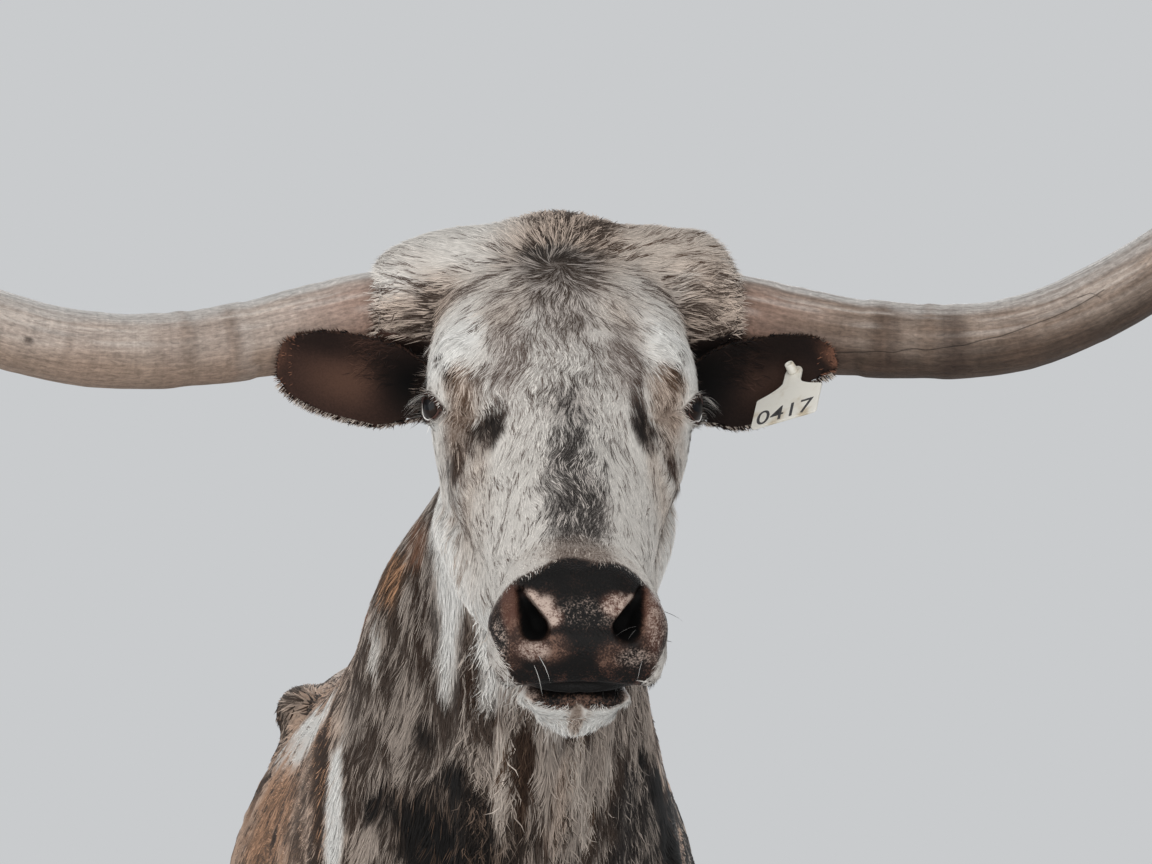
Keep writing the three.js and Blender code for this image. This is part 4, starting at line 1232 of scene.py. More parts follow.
def bare_skin(q):
    """1 on the bare muzzle and lips and 0 on hair. The pad's upper edge is an arch across the nose."""
    x = q[:, 0] - NOSE_CENTRE_X
    t = seen_height(q)
    top = pad_top(x)
    edge = 397.0 - 5.0 * bump(x / 6.5) - 0.026 * np.maximum(0, np.abs(x) - 20) ** 2
    pad = ease(top - 1.5, top + 1.5, t) * ease(edge + 1.5, edge - 1.5, t)
    return pad * ease(405, 450, q[:, 1]) * ease(74, 68, np.abs(x))


def make_hide(sizes, material):
    """The one skin: joined, pressed in by the coat's depth, carved, and marked with the coat's pattern."""
    skin = joined_hide(sizes.head_grain, sizes.body_grain, sizes.head_share, sizes.body_share)
    mesh = bpy.data.meshes.new("longhorn_hide")
    skin.to_mesh(mesh)
    skin.free()
    points, edges, tris = read_points(mesh), read_edges(mesh), read_triangles(mesh)
    p = own(points)
    seam = bump((p[:, 1] - NECK_JOIN_Y) / 45)
    points = relax(points, edges, 8, seam, keep_size=False)
    normals = normals_of(points, tris)
    points = points - normals * (coat_depth(points) * MM)[:, None]
    write_points(mesh, carve_body(points, normals_of(points, tris)))
    skin = bmesh.new()
    skin.from_mesh(mesh)
    for side in (LEFT, RIGHT):
        eye, nostril = Vector(eye_centre(side)), Vector(on_face(side * 40, 520, -32))
        for place, radius in ((eye, 42), (eye, 36), (nostril, 30)):
            refine(skin, place, radius * MM)
    skin.to_mesh(mesh)
    skin.free()
    points = carve_head(read_points(mesh))
    write_points(mesh, points)
    mesh.polygons.foreach_set("use_smooth", np.ones(len(mesh.polygons), bool))
    light, dark, share, bare = markings(points)
    set_colour(mesh, "light_hair", light)
    set_colour(mesh, "dark_hair", dark)
    set_value(mesh, "dark_share", share)
    set_value(mesh, "bare_skin", bare)
    hide = new_object("longhorn_hide", mesh)
    flesh = [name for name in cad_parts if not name.startswith(
        ("eye_", "horn_", "ear_tag_", "claw_", "dewclaw_", "tail_switch"))]
    return finish_piece(hide, material, "coat", *flesh)


# The coat

def hide_surface():
    """The finished hide's points, normals and triangles."""
    mesh = bpy.data.objects["longhorn_hide"].data
    points, tris = read_points(mesh), read_triangles(mesh)
    return points, normals_of(points, tris), tris


def bends(points, normals, tris):
    """How the hide bends at each point, as the six parts of a table: the mean over its edges of
    2 (n . d) / |d|^2 times the edge's way, twice over, smoothed over four rings of neighbours."""
    i, j = tris[:, [0, 1, 2, 1, 2, 0]].ravel(), tris[:, [1, 2, 0, 0, 1, 2]].ravel()
    d = points[j] - points[i]
    far = (d * d).sum(axis=1)
    bend = 2 * (normals[i] * d).sum(axis=1) / far
    way = d / np.sqrt(far)[:, None]
    total = len(points)
    count = np.maximum(np.bincount(i, minlength=total), 1)
    value = np.stack([bend * way[:, a] * way[:, b] for a, b in BEND_PARTS], axis=1)
    value = np.stack([np.bincount(i, part, total) / count for part in value.T], axis=1)
    for _ in range(4):
        value = np.stack([np.bincount(i, part[j], total) / count for part in value.T], axis=1)
    return value


BEND_PARTS = ((0, 0), (1, 1), (2, 2), (0, 1), (0, 2), (1, 2))


def bend_along(value, ways):
    """One over the radius of the hollow that the hide has along a way, below nought where it swells."""
    parts = np.stack([(1 if a == b else 2) * ways[:, a] * ways[:, b] for a, b in BEND_PARTS], axis=1)
    return 4 * (value * parts).sum(axis=1) - value[:, :3].sum(axis=1)


def scatter(points, normals, tris, spacing, rng):
    """Roots spread over the hide, with the hide's facing and bend at each: triangles are picked in order
    by their area over the square of the spacing there, and each root is a random point in its triangle."""
    a, b, c = (points[tris[:, k]] for k in range(3))
    area = np.linalg.norm(np.cross(b - a, c - a), axis=1) / 2
    weight = area * (1 / (spacing * MM) ** 2)[tris].mean(axis=1)
    total = np.cumsum(weight)
    count = int(total[-1])
    steps = (np.arange(count) + rng.random(count)) / count * total[-1]
    pick = np.minimum(np.searchsorted(total, steps), len(tris) - 1)
    r1, r2 = np.sqrt(rng.random(count)), rng.random(count)
    shares = np.stack([1 - r1, r1 * (1 - r2), r1 * r2], axis=1)[:, :, None]
    roots = (points[tris[pick]] * shares).sum(axis=1)
    facing = unit((normals[tris[pick]] * shares).sum(axis=1))
    return roots, facing, (bends(points, normals, tris)[tris[pick]] * shares).sum(axis=1)


WHORL = np.array([-4.0, 76.0])
WHORL_REACH = 62.0


def hair_lie(points, normals):
    """Which way the coat lies: out from the whorl on the face, back and down on the cheeks and neck,
    down the throat and legs, back along the trunk and out along the ears."""
    q, p = by_face(points), own(points)
    y, z = p[:, 1], p[:, 2]
    down = face_way(0, 1, 0)
    across = face_way(1, 0, 0)
    fan = np.stack([(q[:, 0] - WHORL[0]) * 1.1, q[:, 1] - WHORL[1]], axis=1)
    far = np.linalg.norm(fan, axis=1)
    turn = 1.3 * np.exp(-far / 16) + 0.5 * noise(points, 0.020, 33) * np.exp(-far / 60)
    fan = unit(fan)
    face = ((fan[:, 0] * np.cos(turn) - fan[:, 1] * np.sin(turn))[:, None] * across
            + (fan[:, 0] * np.sin(turn) + fan[:, 1] * np.cos(turn))[:, None] * down)
    cheek = np.tile(unit(np.array([0, 0.35, -0.9])), (len(points), 1))
    neck = np.stack([0.15 * np.sign(p[:, 0]), 0.32 + 0 * y, -0.92 + 0 * y], axis=1)
    back = ease(1150, 1330, z)[:, None]
    trunk = unit(np.array([0, 0.93, -0.36])) * (1 - 0.4 * back) + np.array([0, 0.4, 0]) * back
    leg = np.tile(np.array([0, 0.12, -1.0]), (len(points), 1))
    way = trunk
    for other, weight in (
        (leg, ease(800, 640, z)),
        (neck, ease(-640, -780, y)),
        (cheek, ease(-1040, -1090, y)),
        (face, ease(-1050, -1100, y) * ease(-150, -95, q[:, 2])),
        (leg, ease(880, 905, y)),
    ):
        way = way * (1 - weight[:, None]) + other * weight[:, None]
    for side in (LEFT, RIGHT):
        _, ear_way, _, up = ear_frame(side)
        along, height, _ = by_ear(points, side)
        tip = ear_way + up * (height / 60)[:, None]
        weight = on_ear(points, side)[:, None]
        way = way * (1 - weight) + tip * weight
    way = way - normals * (way * normals).sum(axis=1, keepdims=True)
    return unit(way)


def coat_sizes(points, normals, scale):
    """Spacing, length, width and lift of the tufts, in millimetres and as a slope, by part of the body."""
    q, p = by_face(points), own(points)
    x, y, z = p.T
    down, above = q[:, 1], q[:, 2]
    head = ease(-1040, -1085, y)
    poll = head * ease(110, 40, down)
    sides = head * ease(60, 100, np.abs(q[:, 0])) * ease(150, 100, down)
    muzzle = head * ease(400, 455, down)
    chin = head * ease(-105, -125, above) * ease(400, 460, down)
    neck = ease(-640, -780, y) * (1 - head)
    throat = neck * ease(-0.1, -0.5, normals[:, 1])
    leg = ease(760, 620, z)
    foot = ease(200, 120, z)
    tail = ease(880, 905, y)
    under = head * ease(-110, -160, above)
    shoulder = ease(-30, -90, x) * ease(1020, 1110, z) * ease(420, 300, y)
    whorl = head * bump(oval(q[:, :2], WHORL, WHORL_REACH))

    def mixed(base, *layers):
        value = np.full(len(points), float(base))
        for amount, weight in layers:
            value = value + weight * (amount - value)
        return value

    spacing = mixed(6.4, (4.6, leg), (3.9, foot), (4.0, shoulder), (3.1, neck), (2.0, head), (2.9, under),
                    (4.4, tail))
    length = mixed(22, (16, leg), (11, foot), (14, shoulder), (16, neck), (19, throat), (12.5, head),
                   (15, poll), (15, sides), (9, muzzle), (9, chin), (24, tail))
    width = mixed(4.8, (4.0, leg), (3.2, foot), (2.6, shoulder), (2.0, neck), (1.35, head), (2.0, under),
                  (1.45, poll), (1.2, muzzle), (4, tail))
    lift = mixed(0.12, (0.12, leg), (0.09, shoulder), (0.18, neck), (0.28, throat), (0.14, head),
                 (0.18, poll), (0.13, sides), (0.14, muzzle), (0.2, chin), (0.42, whorl))
    for side in (LEFT, RIGHT):
        ear = on_ear(points, side)
        along, height, depth = by_ear(points, side)
        inner = depth > EAR_CUP * (1.15 - along) * np.minimum(1, (height / EAR_HALF) ** 2) - 1
        spacing, length = spacing + ear * (2.6 - spacing), length + ear * (np.where(inner, 5, 7) - length)
        width, lift = width + ear * (1.4 - width), lift + ear * (0.1 - lift)
    return spacing * scale, length, width * scale, lift


def streaks(points, ways, size, reach, seed):
    """Noise smeared along the lie of the hair: its mean at seven places along it, up to a reach each way."""
    steps = np.linspace(-reach, reach, 7)
    return sum(noise(points + ways * step, size, seed) for step in steps) / 7 * 1.9


def hair_colours(roots, ways, rng):
    """One colour for each tuft: light or dark hair by the share of dark there, in streaks along the lie."""
    light, dark, share, bare = markings(roots)
    body = ease(-1060, -1000, own(roots)[:, 1])
    face = 0.95 * streaks(roots, ways, 0.0023, 0.010, 21) + 0.22 * noise(roots, 0.012, 22)
    wide = 0.8 * streaks(roots, ways, 0.0038, 0.011, 23) + 0.25 * noise(roots, 0.028, 24)
    odds = 0.5 + face * (1 - body) + wide * body + 0.34 * (rng.random(len(roots)) - 0.5)
    chosen = ease(-0.12, 0.12, share - odds)[:, None]
    colour = light * (1 - chosen) + dark * chosen
    bright = 1 + 0.26 * (rng.random(len(roots)) - 0.5) * 2
    return colour * bright[:, None], bare


def spikes(line, across, up, width, taper=1.6):
    """Solid tufts along lines: a three-sided spike round each line, whose middle ridge stands up from it.
    At t along a line its width is w (1 - t^taper) (0.8 + 0.5 min(1, 2t)), and it comes to a point."""
    count, rings = line.shape[0], line.shape[1] - 1
    width = np.broadcast_to(width, count)
    t = np.arange(rings) / rings
    shape = (1 - t ** taper) * (0.8 + 0.5 * np.minimum(1, t * 2))
    wide = (width * MM / 2)[:, None, None] * shape[None, :, None]
    body = line[:, :rings]
    across, up = (np.broadcast_to(v if v.ndim == 3 else v[:, None], body.shape) for v in (across, up))
    corners = np.stack([body - across * wide, body + across * wide, body + up * wide * 0.75], axis=2)
    points = np.concatenate([corners.reshape(count, rings * 3, 3), line[:, rings:]], axis=1)
    base = (np.arange(count) * (rings * 3 + 1))[:, None, None]
    quads, tip = [], 3 * rings
    for a in range(0, 3 * rings - 3, 3):
        quads += [[a, a + 2, a + 5, a + 3], [a + 2, a + 1, a + 4, a + 5], [a + 1, a, a + 3, a + 4]]
    a = tip - 3
    ends = [[a, a + 2, tip], [a + 2, a + 1, tip], [a + 1, a, tip], [0, 1, 2]]
    faces = [(base + np.array(group)[None]).reshape(-1, len(group[0])) for group in (quads, ends) if group]
    shading = np.stack([up * 0.8 - across * 0.5, up * 0.8 + across * 0.5, up], axis=2)
    ahead = unit(line[:, -1] - line[:, -2])
    tip_shading = (up[:, -1] + ahead * 0.35)[:, None]
    shading = np.concatenate([shading.reshape(count, rings * 3, 3), tip_shading], axis=1)
    along = np.concatenate([np.repeat(t, 3), [1.0]])
    side = np.concatenate([np.tile([-1.0, 1.0, 0.0], rings), [0.0]])
    return points.reshape(-1, 3), faces, unit(shading).reshape(-1, 3), along, side


def tuft_lines(roots, normals, ways, length, lift, rings, rng, curl=0.0, sag=0.35, bend=(0, 0, 0)):
    """The middle line of each tuft: root + way L t + normal L (lift t - sag lift t^2), with a wave across
    it of curl t sin(4t + a random start) and a bend towards another way that grows as t^2."""
    t = (np.arange(rings + 1) / rings)[None, :, None]
    L = (length * MM)[:, None, None]
    rise = np.broadcast_to(lift, len(roots))[:, None, None] * (t - sag * t ** 2)
    swing = curl * np.sin(t * 4 + rng.random(len(roots))[:, None, None] * 6.28) * t
    across = np.cross(ways, normals)
    line = (roots[:, None] + ways[:, None] * L * t + normals[:, None] * (L * rise - 0.6 * MM)
            + across[:, None] * L * swing + np.array(bend) * L * t ** 2)
    return line, across


# The side of a tuft's own patch on the map
PATCH = 0.003


def unwrap(roots, region):
    """A place on a flat map of the skin's own shape: along the part and round it, in shares of 1."""
    q, p = by_face(roots), own(roots)
    if region == "head":
        round_it = np.arctan2(q[:, 0], q[:, 2] + 90) / (2 * math.pi) + 0.5
        return np.stack([(q[:, 1] + 70) / 640, round_it], axis=1)
    if region == "ears":
        side = np.where(p[:, 0] > 0, LEFT, RIGHT)
        both = [by_ear(roots, one) for one in (LEFT, RIGHT)]
        along = np.where(side == LEFT, both[0][0], both[1][0])
        height = np.where(side == LEFT, both[0][1], both[1][1])
        depth = np.where(side == LEFT, both[0][2], both[1][2])
        out = (depth - EAR_CUP * (1.15 - along) * (height / EAR_HALF) ** 2) > 0
        column = (side == LEFT) * 0.5 + out * 0.25
        return np.stack([column + 0.02 + 0.2 * along, (height + 60) / 120], axis=1)
    if region == "legs":
        column = (p[:, 0] > 0) * 0.25 + (p[:, 1] > 100) * 0.5
        middle_x = np.sign(p[:, 0]) * FOOT_X
        angle = np.arctan2(leg_across(p), p[:, 0] - middle_x) / (2 * math.pi) + 0.5
        return np.stack([column + 0.23 * angle + 0.01, p[:, 2] / 900], axis=1)
    if region == "tail":
        angle = np.arctan2(p[:, 0], p[:, 1] - 926) / (2 * math.pi) + 0.5
        return np.stack([angle, p[:, 2] / 1450], axis=1)
    angle = np.arctan2(p[:, 0], p[:, 2] - 1050) / (2 * math.pi) + 0.5
    return np.stack([angle, (p[:, 1] + 1200) / 2200], axis=1)


# Painted shade and light along each tuft: how dark it is at its root, deep in the coat, and how bright at its
# tip, against its own colour
PAINTED_ROOT_SHADE, PAINTED_TIP_LIGHT = 0.5, 1.16


def new_coat(name, region, roots, line, across, up, width, colour, material, slot, *nodes):
    """One piece of coat: its tufts, their colours with painted shade at the roots and painted light at the
    tips, their shading normals, and each tuft's patch on the map.
    """
    points, faces, shading, along, side = spikes(line, across, up, width)
    piece = new_piece(name, points, faces)
    mesh = piece.data
    # Painted shade at the roots and painted light at the tips
    painted_depth_tone = (PAINTED_ROOT_SHADE + (PAINTED_TIP_LIGHT - PAINTED_ROOT_SHADE) * along)[None, :, None]
    set_colour(mesh, "hair_colour", (colour[:, None, :] * painted_depth_tone).reshape(-1, 3))
    centre = np.clip(unwrap(roots, region), 0.004, 0.996)
    patch = np.stack([side, along * 2 - 1], axis=1) * PATCH / 2
    set_uv(mesh, "OFBake", (centre[:, None, :] + patch[None]).reshape(-1, 2))
    mesh.normals_split_custom_set_from_vertices(shading.astype(np.float32))
    return finish_piece(piece, material, slot, *nodes)


def region_of(points):
    """Names the piece of coat that each root belongs to."""
    q, p = by_face(points), own(points)
    y, z = p[:, 1], p[:, 2]
    region = np.full(len(points), "coat_barrel_left", dtype="<U24")
    region[p[:, 0] < 0] = "coat_barrel_right"
    rear = y > 330
    region[rear] = np.where(p[rear, 0] > 0, "coat_rump_left", "coat_rump_right")
    chest = y < -420
    region[chest] = np.where(p[chest, 0] > 0, "coat_shoulder_left", "coat_shoulder_right")
    region[(z < 640) & (y < 0)] = "coat_forelegs"
    region[(z < 700) & (y > 250)] = "coat_hindlegs"
    region[y < -800] = "coat_neck"
    region[y > 900] = "coat_tail"
    head = y < -1080
    region[head] = "coat_jaw"
    region[head & (q[:, 2] > -130)] = "coat_face"
    region[head & (q[:, 2] > -130) & (q[:, 1] < 190)] = "coat_forehead"
    for side in (LEFT, RIGHT):
        region[on_ear(points, side) > 0.5] = "coat_ears"
    return region


MAPS = {"coat_forehead": "head", "coat_face": "head", "coat_jaw": "head", "coat_ears": "ears",
        "coat_forelegs": "legs", "coat_hindlegs": "legs", "coat_tail": "tail"}


def make_coat(scale, material):
    """Short overlapping tufts over the whole hide but its bare skin, in one piece for each part."""
    rng = np.random.default_rng(SEED)
    points, normals, tris = hide_surface()
    spacing = coat_sizes(points, normals, scale)[0]
    roots, facing, bend = scatter(points, normals, tris, spacing, rng)
    _, length, width, lift = coat_sizes(roots, facing, scale)
    ways = hair_lie(roots, facing)
    stray = 0.15 * rng.normal(0, 1, len(roots)) + 0.5 * noise(roots, 0.024, 31)
    stray = stray + 0.4 * noise(roots, 0.011, 32)
    ways = unit(ways + np.cross(facing, ways) * stray[:, None])
    colour, bare = hair_colours(roots, ways, rng)
    length = length * (0.75 + 0.5 * rng.random(len(roots)))
    lift = lift + np.clip(0.77 * length * MM * bend_along(bend, ways), -0.04, 0.8)
    q = by_face(roots)
    pad_edge = seen_height(q) < pad_top(q[:, 0] - NOSE_CENTRE_X) + 13
    furry = (bare < 0.5) | pad_edge & (q[:, 1] > 400) & (q[:, 2] > -60)
    length *= 1 - 0.35 * (bare > 0.5)
    keep = furry & (nostril_field(q) < 0.05) & (own(roots)[:, 2] > HOOF_HEAD - 4)
    for side in (LEFT, RIGHT):
        opening, out, radius = lid_field(roots, side)[:3]
        keep &= ~((opening < 1.12) & (out > 0) & (radius < 40))
        length *= 1 - 0.45 * ease(2.6, 1.5, opening) * (out > 0) * (radius < 45)
    regions = region_of(roots)
    for name in np.unique(regions):
        pick = keep & (regions == name)
        slot = "face_coat" if MAPS.get(name) == "head" else "ear_hide" if name == "coat_ears" else "coat"
        line, across = tuft_lines(roots[pick], facing[pick], ways[pick], length[pick], lift[pick], 1, rng)
        new_coat(name, MAPS.get(name, "body"), roots[pick], line, across, facing[pick], width[pick],
                 colour[pick], material, slot)


# Longer hair

def hair_on(points, normals, tris, chosen, count, rng):
    """Roots for longer hair: the chosen weight at each point of the hide spreads about "count" of them."""
    a, b, c = (points[tris[:, k]] for k in range(3))
    area = np.linalg.norm(np.cross(b - a, c - a), axis=1) / 2
    total = (area * chosen[tris].mean(axis=1)).sum()
    spacing = np.sqrt(total / count) / np.sqrt(np.maximum(chosen, 1e-9)) / MM
    spacing = np.where(chosen > 1e-6, spacing, 1e6)
    return scatter(points, normals, tris, spacing, rng)[:2]


def make_locks(material):
    """Longer hair: the poll's crown, the collars round the horns, the strands on the ridges of the throat and
    the chin's beard, each bent by its own weight."""
    rng = np.random.default_rng(SEED + 1)
    points, normals, tris = hide_surface()
    q, p = by_face(points), own(points)
    head = p[:, 1] < -1100
    crest_x = np.abs(unturned(points)[:, 0])
    crest_z = unturned(points)[:, 2]
    crown = bump(q[:, 0] / 62) * ease(70, 20, q[:, 1]) * head * ease(0.1, 0.6, normals[:, 2])
    collar = ease(128, 142, crest_x) * ease(175, 160, crest_x) * head * (crest_z > 1520)
    ridge = np.zeros(len(points))
    for place, half, _ in NECK_FOLDS:
        ridge += bump((p[:, 0] - place - 16) / half)
    chest = ridge * ease(-0.1, -0.5, normals[:, 1]) * ease(-700, -800, p[:, 1]) * ease(-1100, -1050, p[:, 1])
    beard = ease(-108, -122, q[:, 2]) * ease(440, 470, q[:, 1]) * head
    for name, region, slot, chosen, count, length, width, lift, rings, curl, drop in (
        ("crown_hair", "head", "face_coat", crown, 2800, 11, 1.0, 0.5, 2, 0.3, -0.1),
        ("horn_collars", "head", "face_coat", collar, 5600, 13, 1.1, 0.12, 2, 0.25, -0.15),
        ("throat_strands", "body", "coat", chest, 6500, 19, 1.5, 0.34, 3, 0.3, -0.1),
        ("chin_hair", "head", "face_coat", beard, 1800, 7, 0.9, 0.35, 2, 0.10, -0.2),
    ):
        roots, facing = hair_on(points, normals, tris, chosen, count, rng)
        ways = hair_lie(roots, facing)
        if name == "horn_collars":
            outward = np.array([1.0, 0, 0]) * np.sign(roots[:, :1]) + rng.normal(0, 0.25, roots.shape)
            ways = unit(outward - facing * (outward * facing).sum(axis=1, keepdims=True))
        stray = np.cross(facing, ways) * rng.normal(0, 0.3, len(roots))[:, None]
        ways = unit(ways + stray)
        size = length * (0.6 + 0.6 * rng.random(len(roots)))
        raised = lift * (0.6 + 0.8 * rng.random(len(roots)))
        line, across = tuft_lines(roots, facing, ways, size, raised, rings, rng, curl, 0.3, (0, 0, drop))
        colour, _ = hair_colours(roots, ways, rng)
        new_coat(name, region, roots, line, across, facing, width, colour, material, slot)


def joined_coat(name, region, width, parts, material, slot):
    """One piece of coat from parts, each with its roots, lines, ways across, facings and colours."""
    roots, line, across, facing, shade = (np.concatenate(group) for group in zip(*parts))
    return new_coat(name, region, roots, line, across, facing, width, shade, material, slot)


# Hair on an ear's rim: which edge, how many, length in millimetres and colour
EAR_EDGES = (("lower", 900, 6, "sand"), ("upper", 500, 3.5, "umber"), ("tip", 400, 4.5, "red"))


def make_ear_fringe(material):
    """Fine hair along each ear's rim, lying out past it and towards the tip."""
    rng = np.random.default_rng(SEED + 2)
    parts = []
    for side in (LEFT, RIGHT):
        _, way, opening, up = ear_frame(side)
        way, opening, up = (head_turned(v) for v in (way, opening, up))
        for edge, count, size, hue in EAR_EDGES:
            u = {"lower": rng.uniform(0.12, 0.98, count), "upper": rng.uniform(0.15, 0.95, count),
                 "tip": rng.uniform(0.9, 1.0, count)}[edge]
            reach = {"lower": -0.96, "upper": 0.96, "tip": rng.uniform(-0.95, 0.95, count)}[edge]
            roots = ear_point(side, 0.97 * u, 0.93 * reach + 0 * u, rng.uniform(-2.4, 2.4, count))
            out = {"lower": -0.8, "upper": 0.8, "tip": reach * 0.6}[edge]
            ways = way * (0.75 + 0 * u)[:, None] + up * (out + 0 * u)[:, None]
            ways = ways + rng.normal(0, 0.22, (count, 3))
            if edge == "lower":
                ways = ways + np.array([0, 0, -0.25])
            ways = unit(ways)
            facing = unit(np.tile(opening, (count, 1)) - ways * (ways @ opening)[:, None])
            length = size * (0.5 + 0.8 * rng.random(count))
            line, across = tuft_lines(roots, facing, ways, length, 0.1, 2, rng, 0.08)
            shade = linear(HAIR[hue]) * (0.55 + 0.5 * rng.random(count))[:, None]
            dark = rng.random(count) < 0.5
            shade[dark] = linear(HAIR["ear_red" if side == RIGHT else "ear_dark"])
            parts.append((roots, line, across, facing, shade))
    joined_coat("ear_fringe", "ears", 0.6, parts, material, "ear_hide")


SWITCH = table("along low high mid half", [
    [680, 904, 944, 924, 18],
    [600, 890, 958, 924, 32],
    [510, 884, 964, 924, 38],
    [420, 892, 954, 923, 30],
    [345, 912, 934, 923, 11],
])


def make_switch(material):
    """The tail's switch: long locks whose lines keep their share of the switch's oval at each height."""
    rng = np.random.default_rng(SEED + 3)
    count, rings = 1500, 9
    angle = rng.uniform(0, 2 * math.pi, count)[:, None]
    share = np.sqrt(rng.uniform(0.1, 1.0, count))[:, None]
    top = rng.uniform(470, SWITCH_TOP, count)[:, None]
    end = np.maximum(SWITCH_END + 4, top - rng.uniform(150, 330, count)[:, None])
    t = np.linspace(0, 1, rings + 1)[None, :]
    z = top + (end - top) * t
    heights = SWITCH[::-1]
    core = ease(0.0, 0.25, t)
    half = np.interp(z, heights[:, 0], heights[:, 4])
    deep = np.interp(z, heights[:, 0], (heights[:, 2] - heights[:, 1]) / 2)
    wave = 0.10 * np.sin(z / 38 + angle * 3) + 0.05 * np.sin(z / 15 + angle * 7)
    out = share * core + (9 / half) * (1 - core)
    x = half * (out * np.cos(angle) + wave * core)
    y = 924 + deep * (out * np.sin(angle) + wave * core)
    line = on_body(x, y, z)
    up = unit(np.concatenate([np.cos(angle), np.sin(angle), 0 * angle], axis=1))
    across = unit(np.cross(np.tile([0, 0, -1.0], (count, 1)), up))
    shade = np.where(rng.random(count)[:, None] < 0.4, linear(HAIR["pale"]), linear(HAIR["brown"]))
    shade = shade * (0.7 + 0.5 * rng.random(count))[:, None]
    width = rng.uniform(3.0, 5.5, count)
    new_coat("tail_switch_hair", "tail", line[:, 0], line, across, up, width, shade, material, "tail_hair",
             "tail_switch")


def on_eye(side, s, u, radius):
    """A place on the eye's sphere, s towards its back corner and u up, in millimetres, at a radius."""
    look, along, up = eye_axes(side)
    out = np.sqrt(np.maximum(0.02, 1 - (s ** 2 + u ** 2) / EYE_RADIUS ** 2))
    way = unit(along * (s / EYE_RADIUS)[..., None] + up * (u / EYE_RADIUS)[..., None] + look * out[..., None])
    return eye_centre(side) + way * (np.asarray(radius) * MM)[..., None], way


def lid_line(angle):
    """The opening between the lids: s = H cos a and u = h(s) sin a, in millimetres."""
    s = LID_HALF * np.cos(angle)
    tall = np.where(np.sin(angle) > 0, LID_UPPER, LID_LOWER)
    tall = tall * np.sqrt(np.maximum(0.15, 1 - 0.35 * np.cos(angle) ** 2))
    return s + LID_BACK, tall * np.sin(angle) + LID_RAISE


def make_lashes(material):
    """Lashes: an upper row, long and curved down, and a shorter lower row, and the long hairs round the
    muzzle and chin. Each is one thin tapered hair."""
    rng = np.random.default_rng(SEED + 4)
    parts = []
    for side in (LEFT, RIGHT):
        look, along, up = eye_axes(side)
        for count, first, last, size, fall in ((70, 0.0, 0.55, 17, -0.75), (20, 1.5, 1.9, 6, -0.15)):
            angle = np.pi * rng.uniform(first, last, count)
            s, u = lid_line(angle)
            roots, way = on_eye(side, s * 1.05, u * 1.05, np.full(count, EYE_RADIUS + 2.2))
            ways = unit(look * 0.9 + along * (s / LID_HALF * 0.9)[:, None] + up * np.sign(u)[:, None] * 0.05
                        + rng.normal(0, 0.10, (count, 3)) + np.array([0, 0, -0.05]))
            facing = unit(np.cross(np.cross(ways, up), ways))
            length = size * (0.6 + 0.5 * rng.random(count))
            line, across = tuft_lines(roots, facing, ways, length, 0.05, 4, rng, 0.03, 0.3, (0, 0, fall))
            shade = np.where(rng.random(count)[:, None] < 0.35, linear(HAIR["pale"]), linear(HAIR["black"]))
            parts.append((roots, line, across, facing, shade))
    joined_coat("lashes", "head", 0.42, parts, material, "face_coat")
    points, normals, tris = hide_surface()
    q = by_face(points)
    chosen = ease(470, 500, q[:, 1]) * ease(-20, -50, q[:, 2]) * (np.abs(q[:, 0]) > 18)
    roots, facing = hair_on(points, normals, tris, chosen, 150, rng)
    ways = unit(facing + 0.7 * hair_lie(roots, facing) + rng.normal(0, 0.25, roots.shape))
    up = unit(np.cross(np.cross(ways, facing), ways))
    length = rng.uniform(10, 26, len(roots))
    line, across = tuft_lines(roots, up, ways, length, 0.05, 4, rng, 0.05, 0.3, (0, 0, -0.3))
    shade = linear(HAIR["white"]) * rng.uniform(0.6, 1.0, len(roots))[:, None]
    new_coat("whiskers", "head", roots, line, across, up, 0.5, shade, material, "face_coat")


# Eyes

def make_eyes(material):
    """Each eye: rings round its look, radius 19 mm with a cornea 1.6 mm proud over the iris, and colours
    from the angle: a level pupil, a brown iris with rays, a dark limbus and a veined white."""
    for side, name in ((LEFT, "left"), (RIGHT, "right")):
        look, along, up = eye_axes(side)
        turn = np.concatenate([np.linspace(0.004, 1.1, 64), np.linspace(1.13, math.pi - 0.02, 20)])[:, None]
        around = turns(72)[None, :]
        cornea = 1.7 * np.clip(1 - (turn / 0.76) ** 2, 0, 1) ** 0.8
        radius = (EYE_RADIUS + cornea + 0 * around) * MM
        way = (look * np.cos(turn)[..., None] + along * (np.sin(turn) * np.cos(around))[..., None]
               + up * (np.sin(turn) * np.sin(around))[..., None])
        points, faces = tube(eye_centre(side) + way * radius[..., None])
        piece = new_piece("eye_" + name + "_globe", points, outward(points, faces))
        s = (np.sin(turn) * np.cos(around) * EYE_RADIUS).ravel()
        u = (np.sin(turn) * np.sin(around) * EYE_RADIUS).ravel()
        out = np.hypot(s, u)
        angle = np.arctan2(u, s)
        rays = noise(np.stack([np.cos(angle) * 9, np.sin(angle) * 9, out * 0.15], 1), 1.0, 41)
        iris = linear("#1d120c") * (1 + 0.35 * rays)[:, None]
        rim = ease(10.0, 13.0, out)[:, None]
        iris = iris * (1 - rim) + linear("#120b08") * rim
        white = linear("#a08a7e") * (1 + 0.15 * noise(points[:-2], 0.004, 42))[:, None]
        beyond = ease(14.5, 16.8, out)[:, None]
        colour = iris * (1 - beyond) + white * beyond
        pupil = ease(1.12, 0.92, np.hypot(s / 7.4, u / 3.9))[:, None]
        colour = colour * (1 - pupil) + linear("#0a0a0e") * pupil
        back = ((np.cos(turn) + 0 * around).ravel() < 0.2)[:, None]
        colour = np.where(back, linear("#7a6359"), colour)
        set_colour(piece.data, "eye_colour", np.concatenate([colour, colour[:1], colour[-1:]]))
        finish_piece(piece, material, "eye", "eye_" + name)


